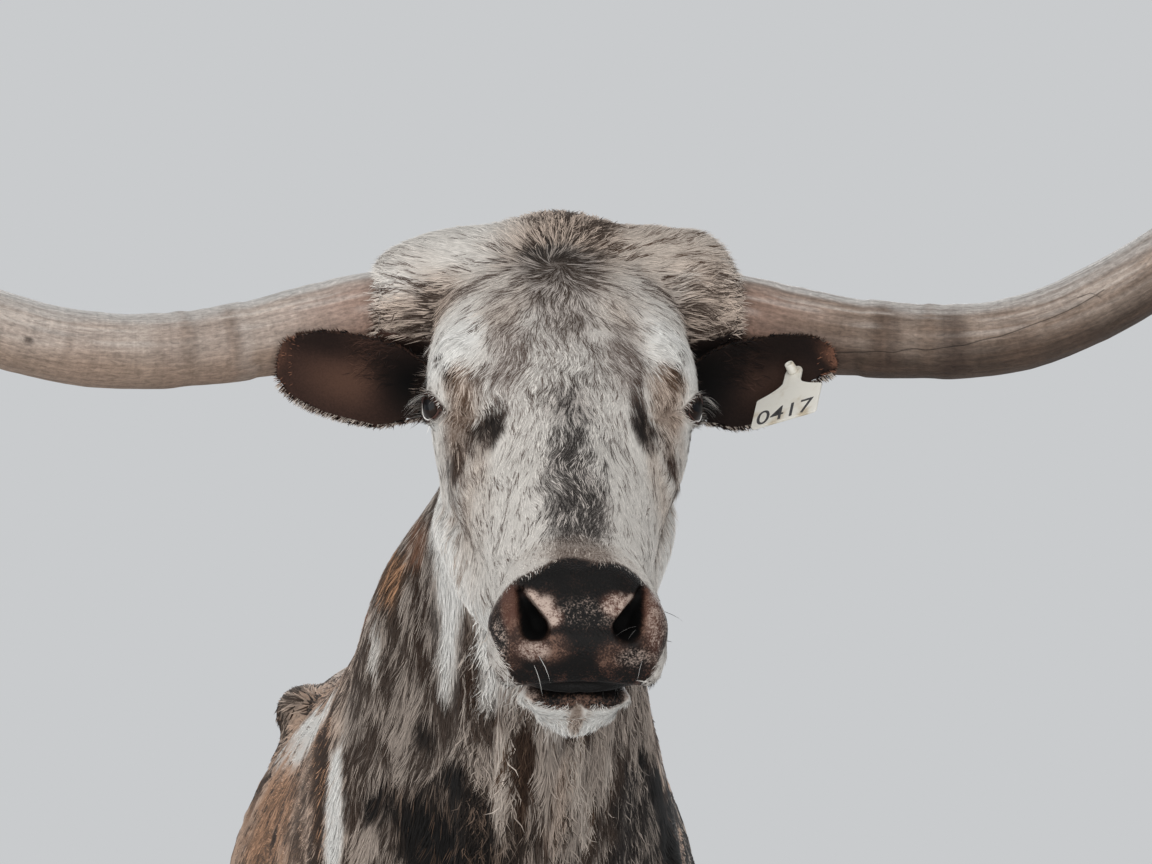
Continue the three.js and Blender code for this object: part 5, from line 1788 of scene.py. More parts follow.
def make_lid_rims(material):
    """The wet edge of each pair of lids: a thin closed tube along the line of their opening, with a near
    white painted highlight on its lower outer part, where the wet line of the lower lid catches the light."""
    shells, colours = [], []
    for side in (LEFT, RIGHT):
        angle = turns(160)[:, None]
        ring = turns(12)[None, :]
        s, u = lid_line(angle)
        thick = 0.85 + 0.25 * np.sin(angle * 2 + 1) + 0 * ring
        grow = 1 + thick * np.cos(ring) / 15.0
        points, _ = on_eye(side, s * grow, u * grow, EYE_RADIUS + 1.3 + thick * np.sin(ring))
        points = points.reshape(-1, 3)
        shells.append((points, outward(points, [tube_faces(161, 12)[0] % (160 * 12)])))
        # Painted highlight: near white on the lower outer part of the rim, where the wet lid line catches the
        # light
        wet = (ease(-0.4, 0.2, -np.sin(angle)) * ease(-0.6, 0.0, np.cos(angle)))[:, 0]
        pale = linear("#f2eee9") * wet[:, None] + linear("#4a302a") * (1 - wet[:, None])
        colours.append(np.repeat(pale.reshape(-1, 3), 12, axis=0))
    piece = new_piece("lid_rims", *gather(shells))
    set_colour(piece.data, "eye_colour", np.concatenate(colours))
    finish_piece(piece, material, "eye")


# Horns

def horn_path(side):
    """The horn's line in the unturned head: it starts at the poll's end and walks on in small steps, with
    its rise and its forward lean read from their tables."""
    steps = 60
    u = np.linspace(0, 1, steps + 1)
    up, ahead = (np.radians(smooth_table(values, u)) for values in (HORN_RISE[side], HORN_FORWARD))
    way = np.stack([side * np.cos(up) * np.cos(ahead), -np.cos(up) * np.sin(ahead), np.sin(up)], axis=1)
    start = np.array([[side * (HORN_BASE_X + 0.3), CREST_Y + 6, 1583.5]])
    path = np.concatenate([start, start + np.cumsum(way[:-1] * HORN_LENGTH / steps, axis=0)])
    return u, path, way


def smooth_table(values, u):
    """A smooth curve through values at even steps, read at u from 0 to 1."""
    rows = np.array(values, float)[:, None]
    return between(rows, u * (len(rows) - 1))[:, 0]


# The long crack on the left horn, by its place along the horn and round it, in turns from the back over
# the top, and its hook
CRACK = np.array([(0.085, 0.60), (0.20, 0.548), (0.27, 0.50), (0.325, 0.485), (0.355, 0.47)])
HOOK = np.array([(0.326, 0.452), (0.343, 0.458), (0.3465, 0.480), (0.350, 0.512)])


NO_CRACK = 99.0
HORN_ROUND = 34 * 2 * math.pi


def over_line(u, v, marks):
    """How far round the horn a place lies past a drawn line, in millimetres, and NO_CRACK beyond its ends.
    The sign changes across the line, so that it stays whole between the points of the mesh."""
    gap = (v - np.interp(u, marks[:, 0], marks[:, 1])) * HORN_ROUND
    return np.where((u > marks[0, 0]) & (u < marks[-1, 0]), gap, NO_CRACK)


def make_horns(material):
    """Each horn: rings of an oval along its bending line, with long fibres, growth rings near the base
    and, on the left one, a long drying crack and its hook."""
    for side, name in ((LEFT, "left"), (RIGHT, "right")):
        u_path, path, way = horn_path(side)
        rows, around = 320, 92
        u = np.linspace(-0.034, 0.9995, rows)
        inside = np.clip(u, 0, 1)
        centre = np.stack([np.interp(inside, u_path, path[:, k]) for k in range(3)], axis=1)
        ahead = unit(np.stack([np.interp(inside, u_path, way[:, k]) for k in range(3)], axis=1))
        centre = centre + ahead * (np.minimum(u, 0) * HORN_LENGTH)[:, None]
        start = ease(0.0, 0.03, inside)[:, None]
        axis = unit(np.array([side, 0, 0]) * (1 - start) + ahead * start)
        back = unit(np.array([0, 1.0, 0]) - axis * axis[:, 1:2])
        up = np.cross(axis, back)
        up = up * np.sign(up[:, 2:3])
        radius = smooth_table(HORN_RADII, inside)
        tip = np.sqrt(np.clip((1 - u) / 0.012, 0, 1))
        radius = (radius - 0.8) * np.where(u > 0.988, tip, 1)
        v = np.arange(around) / around
        U, V = np.meshgrid(u, v, indexing="ij")
        A = V * 2 * math.pi
        grain_place = np.stack([np.cos(A) * 34, np.sin(A) * 34, U * HORN_LENGTH * 0.045], axis=-1)
        grain_place = grain_place.reshape(-1, 3)
        fibres = noise(grain_place, 2.6, 51).reshape(U.shape)
        coarse = noise(grain_place * [1, 1, 2.5], 9.0, 52).reshape(U.shape)
        rings_place = np.stack([np.cos(A) * 8, np.sin(A) * 8, U * HORN_LENGTH], axis=-1).reshape(-1, 3)
        growth = noise(rings_place, 13.0, 53).reshape(U.shape)
        waves = np.sin(U * HORN_LENGTH / 9.5 + 2.4 * growth) * ease(0.42, 0.05, U)
        relief = 0.28 * fibres + 0.5 * coarse + 0.55 * waves + 0.8 * growth * ease(0.5, 0.1, U)
        if side == LEFT:
            along = U.reshape(-1, 1) * [60, 0, 0]
            wobble = 0.006 * noise(along, 1.0, 54).reshape(U.shape)
            crack, hook = (over_line(U, V + wobble, marks) for marks in (CRACK, HOOK))
        else:
            crack = hook = np.full(U.shape, NO_CRACK)
        relief = relief - 0.8 * bump(np.clip(crack, -3, 3) / 2.4)
        flat = 1 - 0.05 * np.sin(A) ** 2
        reach = radius[:, None] * flat + relief * np.minimum(1, radius[:, None] / 20)
        grid = centre[:, None] + (
            back[:, None] * np.cos(A)[..., None] + up[:, None] * np.sin(A)[..., None]) * reach[..., None]
        points, faces = tube(in_head(grid[..., 0], grid[..., 1], grid[..., 2]))
        piece = new_piece("horn_" + name + "_sheath", points, outward(points, faces))
        colour = horn_colours(side, U, A, fibres, coarse, growth)
        colour = np.concatenate([colour.reshape(-1, 3), colour[:1, 0], colour[-1:, 0]])
        set_colour(piece.data, "horn_colour", colour)
        for mark, gap in (("crack", crack), ("hook", hook)):
            set_value(piece.data, mark, np.append(gap.ravel(), [NO_CRACK] * 2))
        mapped = np.stack([U * HORN_LENGTH, V * HORN_ROUND], axis=-1).reshape(-1, 2) * MM
        set_uv(piece.data, "horn_map", np.concatenate([mapped, mapped[:1], mapped[-1:]]))
        finish_piece(piece, material, "horn", "horn_" + name)


# Darker and paler rings round each horn: place along it, half width, strength and colour
HORN_RINGS = {
    LEFT: [(0.10, 0.016, 0.35, "#5f4c40"), (0.142, 0.015, 0.7, "#43332a"), (0.205, 0.013, 0.7, "#3e3029"),
           (0.26, 0.02, 0.4, "#5f4c40"), (0.31, 0.02, 0.35, "#5f4c40")],
    RIGHT: [(0.132, 0.010, 0.2, "#d4cec8"), (0.2, 0.012, 0.3, "#8d7566"),
            (0.15, 0.03, 0.25, "#8d7566"), (0.27, 0.03, 0.2, "#8d7566")],
}


def horn_colours(side, U, A, fibres, coarse, growth):
    """Horn colours: warm tan by the hair, paler grey on top, partly bleaching and partly painted light, and
    darker brown below as painted shade, with darker rings.
    """
    top = np.sin(A)
    left = side == LEFT
    colour = np.tile(linear("#958477" if left else "#b2a499"), (*U.shape, 1))

    def blend(weight, hue):
        colour[:] += np.clip(weight, 0, 1)[..., None] * (linear(hue) - colour)

    # Painted shade: darker brown on the underside
    blend(0.9 * ease(0.1, -0.8, top + 0.3 * coarse), "#37291f" if left else "#96806f")
    # Paler grey on top: partly bleaching, partly painted light
    blend(0.85 * ease(0.4, 0.98, top + 0.25 * coarse), "#c6c3bf")
    blend(0.75 * ease(0.13, 0.0, U) * ease(0.95, 0.3, top), "#99796a")
    for place, wide, strength, hue in HORN_RINGS[side]:
        band = bump((U - place + 0.010 * coarse + 0.006 * growth) / (wide * 1.6))
        blend(strength * band * ease(0.98, 0.3, top), hue)
    blend(0.40 * ease(0.1, 0.7, growth) * ease(0.6, 0.2, U), "#6d594b")
    stained = (0.5 if left else 0.25) * ease(0.05, 0.6, coarse) * ease(0.9, 0.2, top)
    blend(stained, "#57453a" if left else "#8d7667")
    blend((0.4 if left else 0.12) * ease(0.1, 0.6, fibres), "#645143")
    blend(0.35 * ease(0.1, 0.6, -fibres) * ease(-0.5, 0.4, top), "#d2cac2")
    if not left:
        spot = np.hypot((U - 0.33) * HORN_LENGTH / 4.5, (A / (2 * math.pi) - 0.53) * HORN_ROUND / 3.2)
        blend(0.8 * ease(1.2, 0.6, spot), "#3a2e28")
    blend(0.5 * ease(0.55, 0.9, U), "#6b5a4e")
    blend(0.85 * ease(0.84, 0.97, U), "#3a3230")
    return colour


# Hooves, in millimetres

CLAW_LENGTH, CLAW_WIDTH = 122.0, 46.0
CLAW_ASIDE, DEWCLAW_ASIDE = 24.5, 19.0
DEWCLAW_RADIUS, DEWCLAW_LENGTH, DEWCLAW_HEIGHT = 10.5, 22.0, 128.0
CLAW_Y = {"fore": -636.0, "hind": 679.0}
DEWCLAW_Y = {"fore": -580.0, "hind": 746.0}


def claw(side, aside, centre_y):
    """A claw: a stack of sections, each a long oval, that leans back and narrows as it rises, with rings of
    growth. Its toe is drawn in and its inner wall is flatter."""
    u = np.linspace(0, 1, 46)[:, None]
    angle = turns(64)[None, :]
    bulge = np.where(np.cos(angle) * np.sign(aside) > 0, 1.0, 0.92)
    grow = 1 + 0.012 * np.sin(u * 40) * ease(1.0, 0.85, u) - 0.05 * ease(0.12, 0.0, u)
    grow = grow * (1 - 0.16 * ease(0.82, 1.0, u))
    half = CLAW_WIDTH / 2 * (1 - 0.1 * u) * grow
    length = CLAW_LENGTH * (1 - 0.2 * u) * grow
    toe = np.clip(-np.sin(angle), 0, 1) ** 2
    x = power(np.cos(angle), 0.8) * half * bulge * (1 - 0.16 * toe) + aside * (1 - 0.06 * toe)
    y = 30 * u + power(np.sin(angle), 0.9) * length / 2
    return tube(on_body(side * (FOOT_X + x), centre_y + y - 4 * (1 - u) * toe, HOOF_HEAD * u + 0 * x))


def dewclaw(side, aside, centre_y):
    """A dewclaw: a small blunt cone that leans down and back."""
    u = np.linspace(0, 1, 20)[:, None]
    angle = turns(32)[None, :]
    radius = DEWCLAW_RADIUS * np.sqrt(np.maximum(0.01, 1 - u ** 2.4))
    return tube(on_body(
        side * FOOT_X + aside + radius * np.cos(angle),
        centre_y + 16 * u + radius * 0.8 * np.sin(angle),
        DEWCLAW_HEIGHT - DEWCLAW_LENGTH * u + radius * 0.6 * np.sin(angle)))


def make_hooves(material):
    """Each foot's two claws and two dewclaws, streaked down and dusty by the ground."""
    for foot, (_, side, step) in LEGS.items():
        pair = foot.split("_")[0]
        shells = []
        for inward in (1, -1):
            for shell in (claw(side, inward * CLAW_ASIDE, CLAW_Y[pair] + step),
                          dewclaw(side, inward * DEWCLAW_ASIDE, DEWCLAW_Y[pair] + 0.86 * step)):
                shells.append((shell[0], outward(*shell)))
        points, faces = gather(shells)
        piece = new_piece("hooves_" + foot, points, faces)
        p = own(points)
        streak = noise(p * [1, 1, 0.12], 5.0, 61)
        high = ease(10, 60, p[:, 2] + 6 * noise(p, 14.0, 62))
        shade = linear("#3b342f") * (1 - high)[:, None] + linear("#6f6156") * high[:, None]
        shade = shade * (1 + 0.3 * streak)[:, None]
        dust = ease(9, 2, p[:, 2])[:, None]
        set_colour(piece.data, "horn_colour", shade * (1 - dust) + linear("#8b8175") * dust)
        for mark in ("crack", "hook"):
            set_value(piece.data, mark, np.full(len(points), NO_CRACK))
        set_uv(piece.data, "horn_map", np.stack([p[:, 2], p[:, 0] + p[:, 1]], axis=1) * MM)
        nodes = [kind + foot + "_" + which for kind in ("claw_", "dewclaw_") for which in ("outer", "inner")]
        finish_piece(piece, material, "claw", *nodes)


# The ear tag: its hole's place along and across the left ear, how far the panel stands off, the panel's
# ways across and down, and half the widths of the panel and its neck, in millimetres

TAG_NUMBER = "0417"
TAG_U, TAG_ACROSS, TAG_CLEAR = 0.75, -0.15, 11.0
TAG_ACROSS_WAY, TAG_DOWN_WAY = np.array([51.5, -29.5, 12.5]), np.array([-18, -43, -48])
TAG_HALF, TAG_NECK, TAG_THICK = 30.0, 7.5, 2.0
NUMBER_LOW, NUMBER_HIGH = np.array([-26.0, -64.0, 1.8]), np.array([26.0, -45.5, 2.12])

# Turned parts of the tag, as radius and height at each step
STUD = [[0.3, -9], [2.4, -9], [2.6, -8.6], [2.6, 2.3], [4.4, 2.3], [4.6, 2.6], [4.4, 5], [3.9, 10.9],
        [3.6, 11.3], [2.4, 11.3], [2.2, 11.0], [2.2, 7.5], [0.3, 7.3]]
BUTTON = [[0.3, -7.3], [11.4, -7.3], [12.1, -6.9], [12.9, -4.7], [12.6, -4.3], [2.6, -4.3], [2.6, 4.6],
          [2.2, 5], [0.3, 5]]


def in_tag(points, clear, across, out):
    """Moves points, in millimetres about the tag's hole, to its place on the ear: x across, y up, z out."""
    place = unturned(ear_point(LEFT, np.array(TAG_U), np.array(TAG_ACROSS), np.array(clear)))
    top = unit(np.cross(out, across))
    side = unit(np.cross(top, out))
    p = place + points[:, :1] * side + points[:, 1:2] * top + points[:, 2:] * out
    return in_head(p[:, 0], p[:, 1], p[:, 2])


def on_panel(points):
    """Moves points to their place on the tag's panel."""
    out = unit(np.cross(TAG_DOWN_WAY, TAG_ACROSS_WAY))
    return in_tag(points, TAG_CLEAR, unit(TAG_ACROSS_WAY), out)


def moulded(mesh, place, name, material, *nodes):
    """Moves a flat-made mesh to its place on the animal, as a piece."""
    write_points(mesh, place(read_points(mesh)))
    return finish_piece(new_object(name, mesh), material, "tag_plastic", *nodes)


def turned_part(profile, sides=48):
    """A part turned on a lathe, from its radius and height at each step."""
    r, h = np.array(profile, float).T[:, :, None]
    angle = turns(sides)
    grid = np.stack([r * np.cos(angle), r * np.sin(angle), h + 0 * angle], axis=-1)
    return tube(grid)


def make_tag(plastic, ink):
    """The tag: a panel cut from soft sheet, 2 mm thick with a rounded rim, its ring on a hollow stud, the
    button behind the ear and a printed number."""
    half, neck = TAG_HALF, TAG_NECK
    ring = np.linspace(0, math.pi, 25)
    sweep = np.linspace(0, 1, 14)[1:-1, None]
    shoulder = ((1 - sweep) ** 2 * [half, -28] + 2 * sweep * (1 - sweep) * [neck + 1, -20]
                + sweep ** 2 * [neck, -12])
    corner = np.linspace(0, math.pi / 2, 6)
    foot = np.stack([half - 3 + 3 * np.sin(corner), -63 - 3 * np.cos(corner)], axis=1)
    right_side = np.concatenate([foot, [[half, -29.5], [half - 0.4, -28.2]], shoulder])
    crown = np.stack([neck * np.cos(ring), neck * np.sin(ring)], axis=1)
    left_side = right_side[::-1] * [-1, 1]
    rim = np.concatenate([right_side, crown, left_side])
    turn = np.linspace(0, -2 * math.pi, 33)[:-1]
    hole = np.stack([2.9 * np.cos(turn), 2.9 * np.sin(turn)], axis=1)
    panel = flat_outline([rim, hole], TAG_THICK, 0.35, "ear_tag_sheet")
    moulded(panel, lambda p: on_panel(p + [0, 0, TAG_THICK / 2]), "ear_tag_sheet", plastic, "ear_tag_panel")
    text = bpy.data.curves.new("ear_tag_number", "FONT")
    text.body = TAG_NUMBER
    text.offset = 0.002
    text.extrude = 0.5
    number = shape_mesh(text, "ear_tag_number")
    raw = read_points(number)
    low, high = raw.min(axis=0), raw.max(axis=0)
    spread = (NUMBER_HIGH - NUMBER_LOW) / (high - low)
    moulded(number, lambda p: on_panel(NUMBER_LOW + (p - low) * spread), "ear_tag_number", ink)
    _, way, opening, _ = ear_frame(LEFT)
    for name, profile, place, replaced in (
        ("ear_tag_tube", STUD, on_panel, "ear_tag_stud"),
        ("ear_tag_back", BUTTON, lambda p: in_tag(p, 0.0, way, opening), "ear_tag_button"),
    ):
        points, faces = turned_part(profile)
        points = place(points)
        piece = new_piece(name, points, outward(points, faces))
        finish_piece(piece, plastic, "tag_plastic", replaced)


def flat_outline(splines, thick, bevel, name):
    """A flat shape with holes, from closed lines of points, thickened and made a mesh."""
    curve = bpy.data.curves.new(name, "CURVE")
    curve.dimensions = "2D"
    curve.fill_mode = "BOTH"
    curve.extrude = thick / 2 - bevel
    curve.bevel_depth = bevel
    curve.bevel_resolution = 2
    for line in splines:
        spline = curve.splines.new("POLY")
        spline.points.add(len(line) - 1)
        flat = np.concatenate([line, np.tile([0, 1], (len(line), 1))], axis=1)
        spline.points.foreach_set("co", flat.ravel())
        spline.use_cyclic_u = True
    return shape_mesh(curve, name)


def shape_mesh(data, name):
    """A curve or a text as a mesh."""
    mesh = applied(new_object("work", data))
    mesh.name = name
    return mesh


# Materials

def node(tree, kind, settings=None, inputs=None):
    """Adds one node, with its own settings, and its inputs given as values or as other nodes' sockets."""
    made = tree.nodes.new(kind)
    for name, value in (settings or {}).items():
        setattr(made, name, value)
    for name, value in (inputs or {}).items():
        socket = made.inputs[name]
        if isinstance(value, bpy.types.NodeSocket):
            tree.links.new(value, socket)
        else:
            socket.default_value = value
    return made


def new_material(name):
    """An empty material, with its node tree and output."""
    material = bpy.data.materials.new(name)
    material.use_nodes = True
    tree = material.node_tree
    tree.nodes.clear()
    return material, tree


def surface(tree, **inputs):
    """Puts a principled shader on the output, its inputs named with _ for spaces."""
    named = {name.replace("_", " "): value for name, value in inputs.items()}
    shader = node(tree, "ShaderNodeBsdfPrincipled", {}, named)
    node(tree, "ShaderNodeOutputMaterial", {}, {"Surface": shader.outputs["BSDF"]})


def hair_material():
    """Short cattle hair: keratin, with a soft sheen along its tips and no gloss."""
    material, tree = new_material("cattle hair")
    colour = node(tree, "ShaderNodeAttribute", {"attribute_name": "hair_colour"})
    surface(tree, Base_Color=colour.outputs["Color"], Roughness=0.8, Specular_IOR_Level=0.12,
            Sheen_Weight=0.05, Sheen_Roughness=0.5)
    return material


def hide_material():
    """Cattle hide under the coat, and the bare moist skin of the muzzle and lids. Speckles of 1.6 mm mix
    the light and dark hair by their share, and the bare skin has a pebbled grain of about 1.5 mm."""
    material, tree = new_material("cattle hide and muzzle skin")
    place = node(tree, "ShaderNodeTexCoord").outputs["Object"]
    light = node(tree, "ShaderNodeAttribute", {"attribute_name": "light_hair"}).outputs["Color"]
    dark = node(tree, "ShaderNodeAttribute", {"attribute_name": "dark_hair"}).outputs["Color"]
    share = node(tree, "ShaderNodeAttribute", {"attribute_name": "dark_share"}).outputs["Fac"]
    bare = node(tree, "ShaderNodeAttribute", {"attribute_name": "bare_skin"}).outputs["Fac"]
    speckle = node(tree, "ShaderNodeTexNoise", {}, {
        "Vector": place, "Scale": 600.0, "Detail": 6.0, "Roughness": 0.72}).outputs["Fac"]
    swing = node(tree, "ShaderNodeMapRange", {}, {
        "Value": bare, "To Min": 0.8, "To Max": 2.4}).outputs["Result"]
    centred = node(tree, "ShaderNodeMath", {"operation": "SUBTRACT"}, {0: speckle, 1: 0.5}).outputs[0]
    wider = node(tree, "ShaderNodeMath", {"operation": "MULTIPLY"}, {0: centred, 1: swing}).outputs[0]
    lean = node(tree, "ShaderNodeMath", {"operation": "ADD"}, {0: share, 1: wider}).outputs[0]
    mix = node(tree, "ShaderNodeMapRange", {"interpolation_type": "SMOOTHSTEP"}, {
        "Value": lean, "From Min": 0.2, "From Max": 0.8}).outputs["Result"]
    plain = node(tree, "ShaderNodeMix", {"data_type": "RGBA"}, {
        "Factor": mix, 6: light, 7: dark}).outputs[2]
    # Painted shade between the tufts: under the coat the hide's colour is scaled down to 0.72, and bare skin
    # keeps its full colour.
    depth = node(tree, "ShaderNodeMapRange", {}, {
        "Value": bare, "To Min": 0.72, "To Max": 1.0}).outputs["Result"]
    colour = node(tree, "ShaderNodeVectorMath", {"operation": "SCALE"}, {0: plain, "Scale": depth}).outputs[0]
    rough = node(tree, "ShaderNodeMapRange", {}, {
        "Value": bare, "To Min": 0.85, "To Max": 0.5}).outputs["Result"]
    pebbles = node(tree, "ShaderNodeTexVoronoi", {"feature": "SMOOTH_F1"}, {
        "Vector": place, "Scale": 620.0, "Smoothness": 0.6}).outputs["Distance"]
    grain = node(tree, "ShaderNodeMath", {"operation": "MULTIPLY"}, {0: pebbles, 1: bare}).outputs[0]
    height = node(tree, "ShaderNodeBump", {}, {"Height": grain, "Strength": 0.6, "Distance": 0.0008})
    normal = height.outputs["Normal"]
    surface(tree, Base_Color=colour, Roughness=rough, Specular_IOR_Level=0.14, Normal=normal)
    return material


def eye_material():
    """A wet eye: coloured globe under a clear tear film, which is smooth and glossy."""
    material, tree = new_material("wet eye")
    colour = node(tree, "ShaderNodeAttribute", {"attribute_name": "eye_colour"})
    surface(tree, Base_Color=colour.outputs["Color"], Roughness=0.3, Specular_IOR_Level=0.1, Coat_Weight=0.25,
            Coat_Roughness=0.02, Coat_IOR=1.38)
    return material


def horn_material():
    """Cattle horn: weathered keratin. Fibres run along it, 0.5 to 2 mm wide and some 60 mm long; a fine net
    of drying cracks lies over them, and a long crack shows dark."""
    material, tree = new_material("weathered horn")
    colour = node(tree, "ShaderNodeAttribute", {"attribute_name": "horn_colour"}).outputs["Color"]
    gaps = []
    for name in ("crack", "hook"):
        gap = node(tree, "ShaderNodeAttribute", {"attribute_name": name}).outputs["Fac"]
        gaps.append(node(tree, "ShaderNodeMath", {"operation": "ABSOLUTE"}, {0: gap}).outputs[0])
    crack = node(tree, "ShaderNodeMath", {"operation": "MINIMUM"}, {0: gaps[0], 1: gaps[1]}).outputs[0]
    place = node(tree, "ShaderNodeUVMap", {"uv_map": "horn_map"}).outputs["UV"]

    def fibres(along, across, detail):
        stretched = node(tree, "ShaderNodeMapping", {}, {"Vector": place, "Scale": (along, across, 1.0)})
        return node(tree, "ShaderNodeTexNoise", {}, {
            "Vector": stretched.outputs["Vector"], "Scale": 1.0, "Detail": detail,
            "Roughness": 0.65, "Distortion": 0.4}).outputs["Fac"]

    fine = fibres(16.0, 700.0, 4.0)
    broad = fibres(9.0, 130.0, 5.0)
    veins = fibres(38.0, 150.0, 6.0)
    mottle = node(tree, "ShaderNodeMapRange", {}, {
        "Value": fibres(150.0, 380.0, 6.0), "From Min": 0.3, "From Max": 0.7, "To Min": 0.62, "To Max": 1.28})
    rings = node(tree, "ShaderNodeMapRange", {}, {
        "Value": fibres(170.0, 12.0, 4.0), "From Min": 0.3, "From Max": 0.7, "To Min": 0.86, "To Max": 1.1})
    off = node(tree, "ShaderNodeMath", {"operation": "SUBTRACT"}, {0: veins, 1: 0.5}).outputs[0]
    off = node(tree, "ShaderNodeMath", {"operation": "ABSOLUTE"}, {0: off}).outputs[0]
    net_line = node(tree, "ShaderNodeMapRange", {"interpolation_type": "SMOOTHSTEP"}, {
        "Value": off, "From Max": 0.012, "To Min": 0.9, "To Max": 1.0}).outputs["Result"]
    dark_fine = node(tree, "ShaderNodeMapRange", {}, {
        "Value": fine, "From Min": 0.3, "From Max": 0.7, "To Min": 0.84, "To Max": 1.12}).outputs["Result"]
    dark_broad = node(tree, "ShaderNodeMapRange", {}, {
        "Value": broad, "From Min": 0.3, "From Max": 0.7, "To Min": 0.78, "To Max": 1.14}).outputs["Result"]
    line = node(tree, "ShaderNodeMapRange", {"interpolation_type": "SMOOTHSTEP"}, {
        "Value": crack, "From Min": 0.2, "From Max": 0.75, "To Min": 0.4, "To Max": 1.0}).outputs["Result"]
    shade = dark_fine
    for other in (dark_broad, net_line, mottle.outputs["Result"], rings.outputs["Result"], line):
        shade = node(tree, "ShaderNodeMath", {"operation": "MULTIPLY"}, {0: shade, 1: other}).outputs[0]
    base = node(tree, "ShaderNodeVectorMath", {"operation": "SCALE"}, {0: colour, "Scale": shade}).outputs[0]
    height = node(tree, "ShaderNodeMath", {"operation": "ADD"}, {0: shade, 1: broad}).outputs[0]
    bumps = node(tree, "ShaderNodeBump", {}, {"Height": height, "Strength": 0.55, "Distance": 0.0009})
    surface(tree, Base_Color=base, Roughness=0.6, Specular_IOR_Level=0.2, Normal=bumps.outputs["Normal"])
    return material


def plastic_material():
    """Soft tag plastic: moulded polyurethane, cream with age, with stains some 10 mm wide."""
    material, tree = new_material("tag plastic")
    place = node(tree, "ShaderNodeTexCoord").outputs["Object"]
    stain = node(tree, "ShaderNodeTexNoise", {}, {
        "Vector": place, "Scale": 60.0, "Detail": 5.0}).outputs["Fac"]
    amount = node(tree, "ShaderNodeMapRange", {"interpolation_type": "SMOOTHSTEP"}, {
        "Value": stain, "From Min": 0.48, "From Max": 0.75, "To Max": 0.7}).outputs["Result"]
    colour = node(tree, "ShaderNodeMix", {"data_type": "RGBA"}, {
        "Factor": amount, 6: rgba("#dedad0"), 7: rgba("#b09c79")}).outputs[2]
    surface(tree, Base_Color=colour, Roughness=0.45, Specular_IOR_Level=0.4)
    return material


def ink_material():
    """Tag ink: matt grey-black marking ink, laid 0.1 mm thick and worn."""
    material, tree = new_material("tag ink")
    surface(tree, Base_Color=rgba("#3c3a3b"), Roughness=0.7)
    return material


# Operators

class CoatSizes(bpy.types.PropertyGroup):
    """How fine the hide's mesh and the coat are"""
    head_grain: FloatProperty(
        name="Head grain", description="Size of the hide's faces on the head, in millimetres", default=3.3)
    head_share: FloatProperty(
        name="Head share", description="Share of the head's faces kept", default=0.6, subtype="FACTOR")
    body_grain: FloatProperty(
        name="Body grain", description="Size of the hide's faces on the body before thinning", default=7.0)
    body_share: FloatProperty(
        name="Body share", description="Share of the body's faces kept", default=0.22, subtype="FACTOR")
    coarse: FloatProperty(
        name="Tuft scale", description="Width and spacing of the tufts against the natural ones", default=1.0)


class LONGHORN_OT_hide(bpy.types.Operator):
    """Builds the one skin of head, ears, neck, trunk, legs and tail"""
    bl_idname = "longhorn.hide"
    bl_label = "Hide"

    def execute(self, context):
        make_hide(context.scene.longhorn_coat, hide_material())
        return {"FINISHED"}


class LONGHORN_OT_coat(bpy.types.Operator):
    """Grows the short coat over the hide"""
    bl_idname = "longhorn.coat"
    bl_label = "Coat"

    def execute(self, context):
        make_coat(context.scene.longhorn_coat.coarse, hair_material())
        return {"FINISHED"}


class LONGHORN_OT_long_hair(bpy.types.Operator):
    """Grows the crown, horn collars, throat strands, beard, ear fringes, lashes, whiskers and tail switch"""
    bl_idname = "longhorn.long_hair"
    bl_label = "Long hair"

    def execute(self, context):
        material = bpy.data.materials["cattle hair"]
        make_locks(material)
        make_ear_fringe(material)
        make_lashes(material)
        make_switch(material)
        return {"FINISHED"}


class LONGHORN_OT_eyes(bpy.types.Operator):
    """Makes both eyes and the wet rims of their lids"""
    bl_idname = "longhorn.eyes"
    bl_label = "Eyes"

    def execute(self, context):
        material = eye_material()
        make_eyes(material)
        make_lid_rims(material)
        return {"FINISHED"}


class LONGHORN_OT_horns(bpy.types.Operator):
    """Makes both horns and the hooves, which are of the same horn"""
    bl_idname = "longhorn.horns"
    bl_label = "Horns and hooves"

    def execute(self, context):
        material = horn_material()
        make_horns(material)
        make_hooves(material)
        return {"FINISHED"}


class LONGHORN_OT_tag(bpy.types.Operator):
    """Makes the ear tag: panel, number, stud and button"""
    bl_idname = "longhorn.tag"
    bl_label = "Ear tag"

    def execute(self, context):
        make_tag(plastic_material(), ink_material())
        return {"FINISHED"}


class LONGHORN_OT_stage(bpy.types.Operator):
    """Sets up the floor, the soft studio light and the camera"""
    bl_idname = "longhorn.stage"
    bl_label = "Stage"

    def execute(self, context):
        make_floor()
        make_camera()
        make_lamps()
        return {"FINISHED"}


# The camera, in metres, radians and millimetres of lens
CAMERA_DISTANCE = 3.0
CAMERA_HEIGHT = 1.10
CAMERA_ASIDE = 0.011
CAMERA_YAW = math.radians(6)
CAMERA_PITCH = math.radians(7)
CAMERA_LENS = 114.4


# Lamps: name, place and aim in metres, size in metres and power in watts
LAMPS = (
    ("key", (-0.8, -4.3, 3.5), (0, -0.6, 1.3), 2.5, 42),
    ("fill", (0.3, -4.0, 0.4), (0, -0.9, 1.2), 3.0, 62),
    ("side", (-3.8, -2.2, 1.4), (0, -0.7, 1.25), 3.0, 62),
    ("back", (1.5, 4.5, 4.0), (0, -0.2, 1.3), 3.5, 160),
)


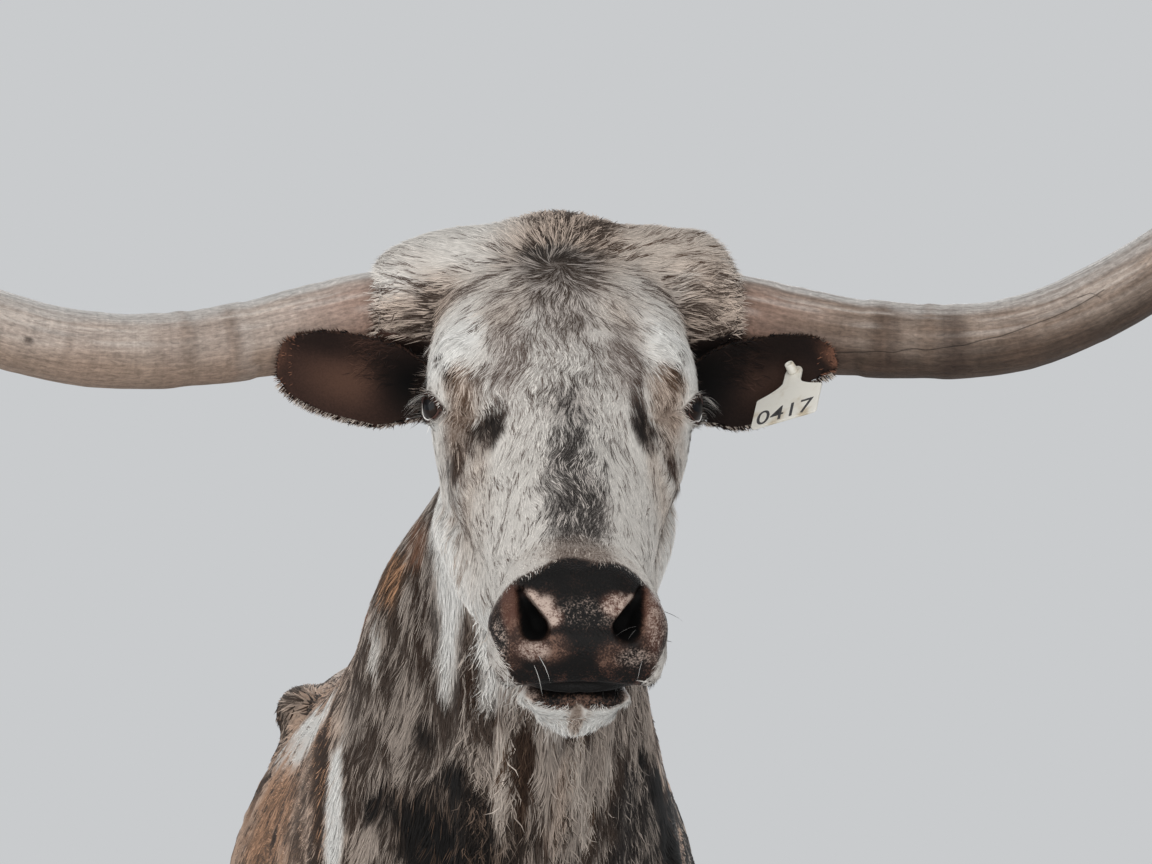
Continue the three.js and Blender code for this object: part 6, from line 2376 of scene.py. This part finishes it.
def make_floor():
    """A plain pale studio floor, and a pale world round it."""
    corners = np.array([[-30, -30, 0], [30, -30, 0], [30, 30, 0], [-30, 30, 0]], float)
    floor = new_piece("studio_floor", corners, [np.array([[0, 1, 2, 3]])], smooth=False)
    material, tree = new_material("pale studio floor")
    surface(tree, Base_Color=rgba("#c9cacb"), Roughness=0.8)
    floor.data.materials.append(material)
    world = bpy.data.worlds.new("pale studio")
    world.use_nodes = True
    world.node_tree.nodes["Background"].inputs["Color"].default_value = rgba("#c9cbcd")
    world.node_tree.nodes["Background"].inputs["Strength"].default_value = 1.0
    bpy.context.scene.world = world
    bpy.context.scene.view_settings.view_transform = "Standard"


def make_camera():
    """The photo's camera: low, 3 m from the eyes and looking up a little."""
    middle = (eye_centre(LEFT) + eye_centre(RIGHT)) / 2
    ahead = np.array([math.sin(CAMERA_YAW), math.cos(CAMERA_YAW), 0])
    aside = np.array([math.cos(CAMERA_YAW), -math.sin(CAMERA_YAW), 0])
    at = middle + aside * CAMERA_ASIDE - ahead * CAMERA_DISTANCE
    lens = bpy.data.cameras.new("camera")
    lens.lens = CAMERA_LENS
    lens.sensor_width = 36.0
    camera = new_object("camera", lens)
    camera.location = (at[0], at[1], CAMERA_HEIGHT)
    camera.rotation_euler = (math.pi / 2 + CAMERA_PITCH, 0, -CAMERA_YAW)
    bpy.context.scene.camera = camera


def make_lamps():
    """Soft studio lamps, each turned to its aim."""
    for name, place, aim, size, watts in LAMPS:
        lamp = bpy.data.lights.new(name, "AREA")
        lamp.size = size
        lamp.energy = watts
        light = new_object(name, lamp)
        light.location = place
        light.rotation_euler = (Vector(aim) - Vector(place)).to_track_quat("-Z", "Y").to_euler()


class LONGHORN_PT_panel(bpy.types.Panel):
    """Lists the steps that build the longhorn"""
    bl_label = "Longhorn"
    bl_idname = "LONGHORN_PT_panel"
    bl_space_type = "VIEW_3D"
    bl_region_type = "UI"
    bl_category = "Longhorn"

    def draw(self, context):
        for operator in OPERATORS:
            self.layout.operator(operator.bl_idname)


OPERATORS = (LONGHORN_OT_hide, LONGHORN_OT_coat, LONGHORN_OT_long_hair, LONGHORN_OT_eyes, LONGHORN_OT_horns,
             LONGHORN_OT_tag, LONGHORN_OT_stage)
CLASSES = (CoatSizes, *OPERATORS, LONGHORN_PT_panel)


def register():
    for one in CLASSES:
        bpy.utils.register_class(one)
    bpy.types.Scene.longhorn_coat = PointerProperty(type=CoatSizes)


def unregister():
    del bpy.types.Scene.longhorn_coat
    for one in reversed(CLASSES):
        bpy.utils.unregister_class(one)


def main():
    register()
    for operator in OPERATORS:
        getattr(bpy.ops.longhorn, operator.bl_idname.split(".")[1])()


if __name__ == "__main__":
    main()
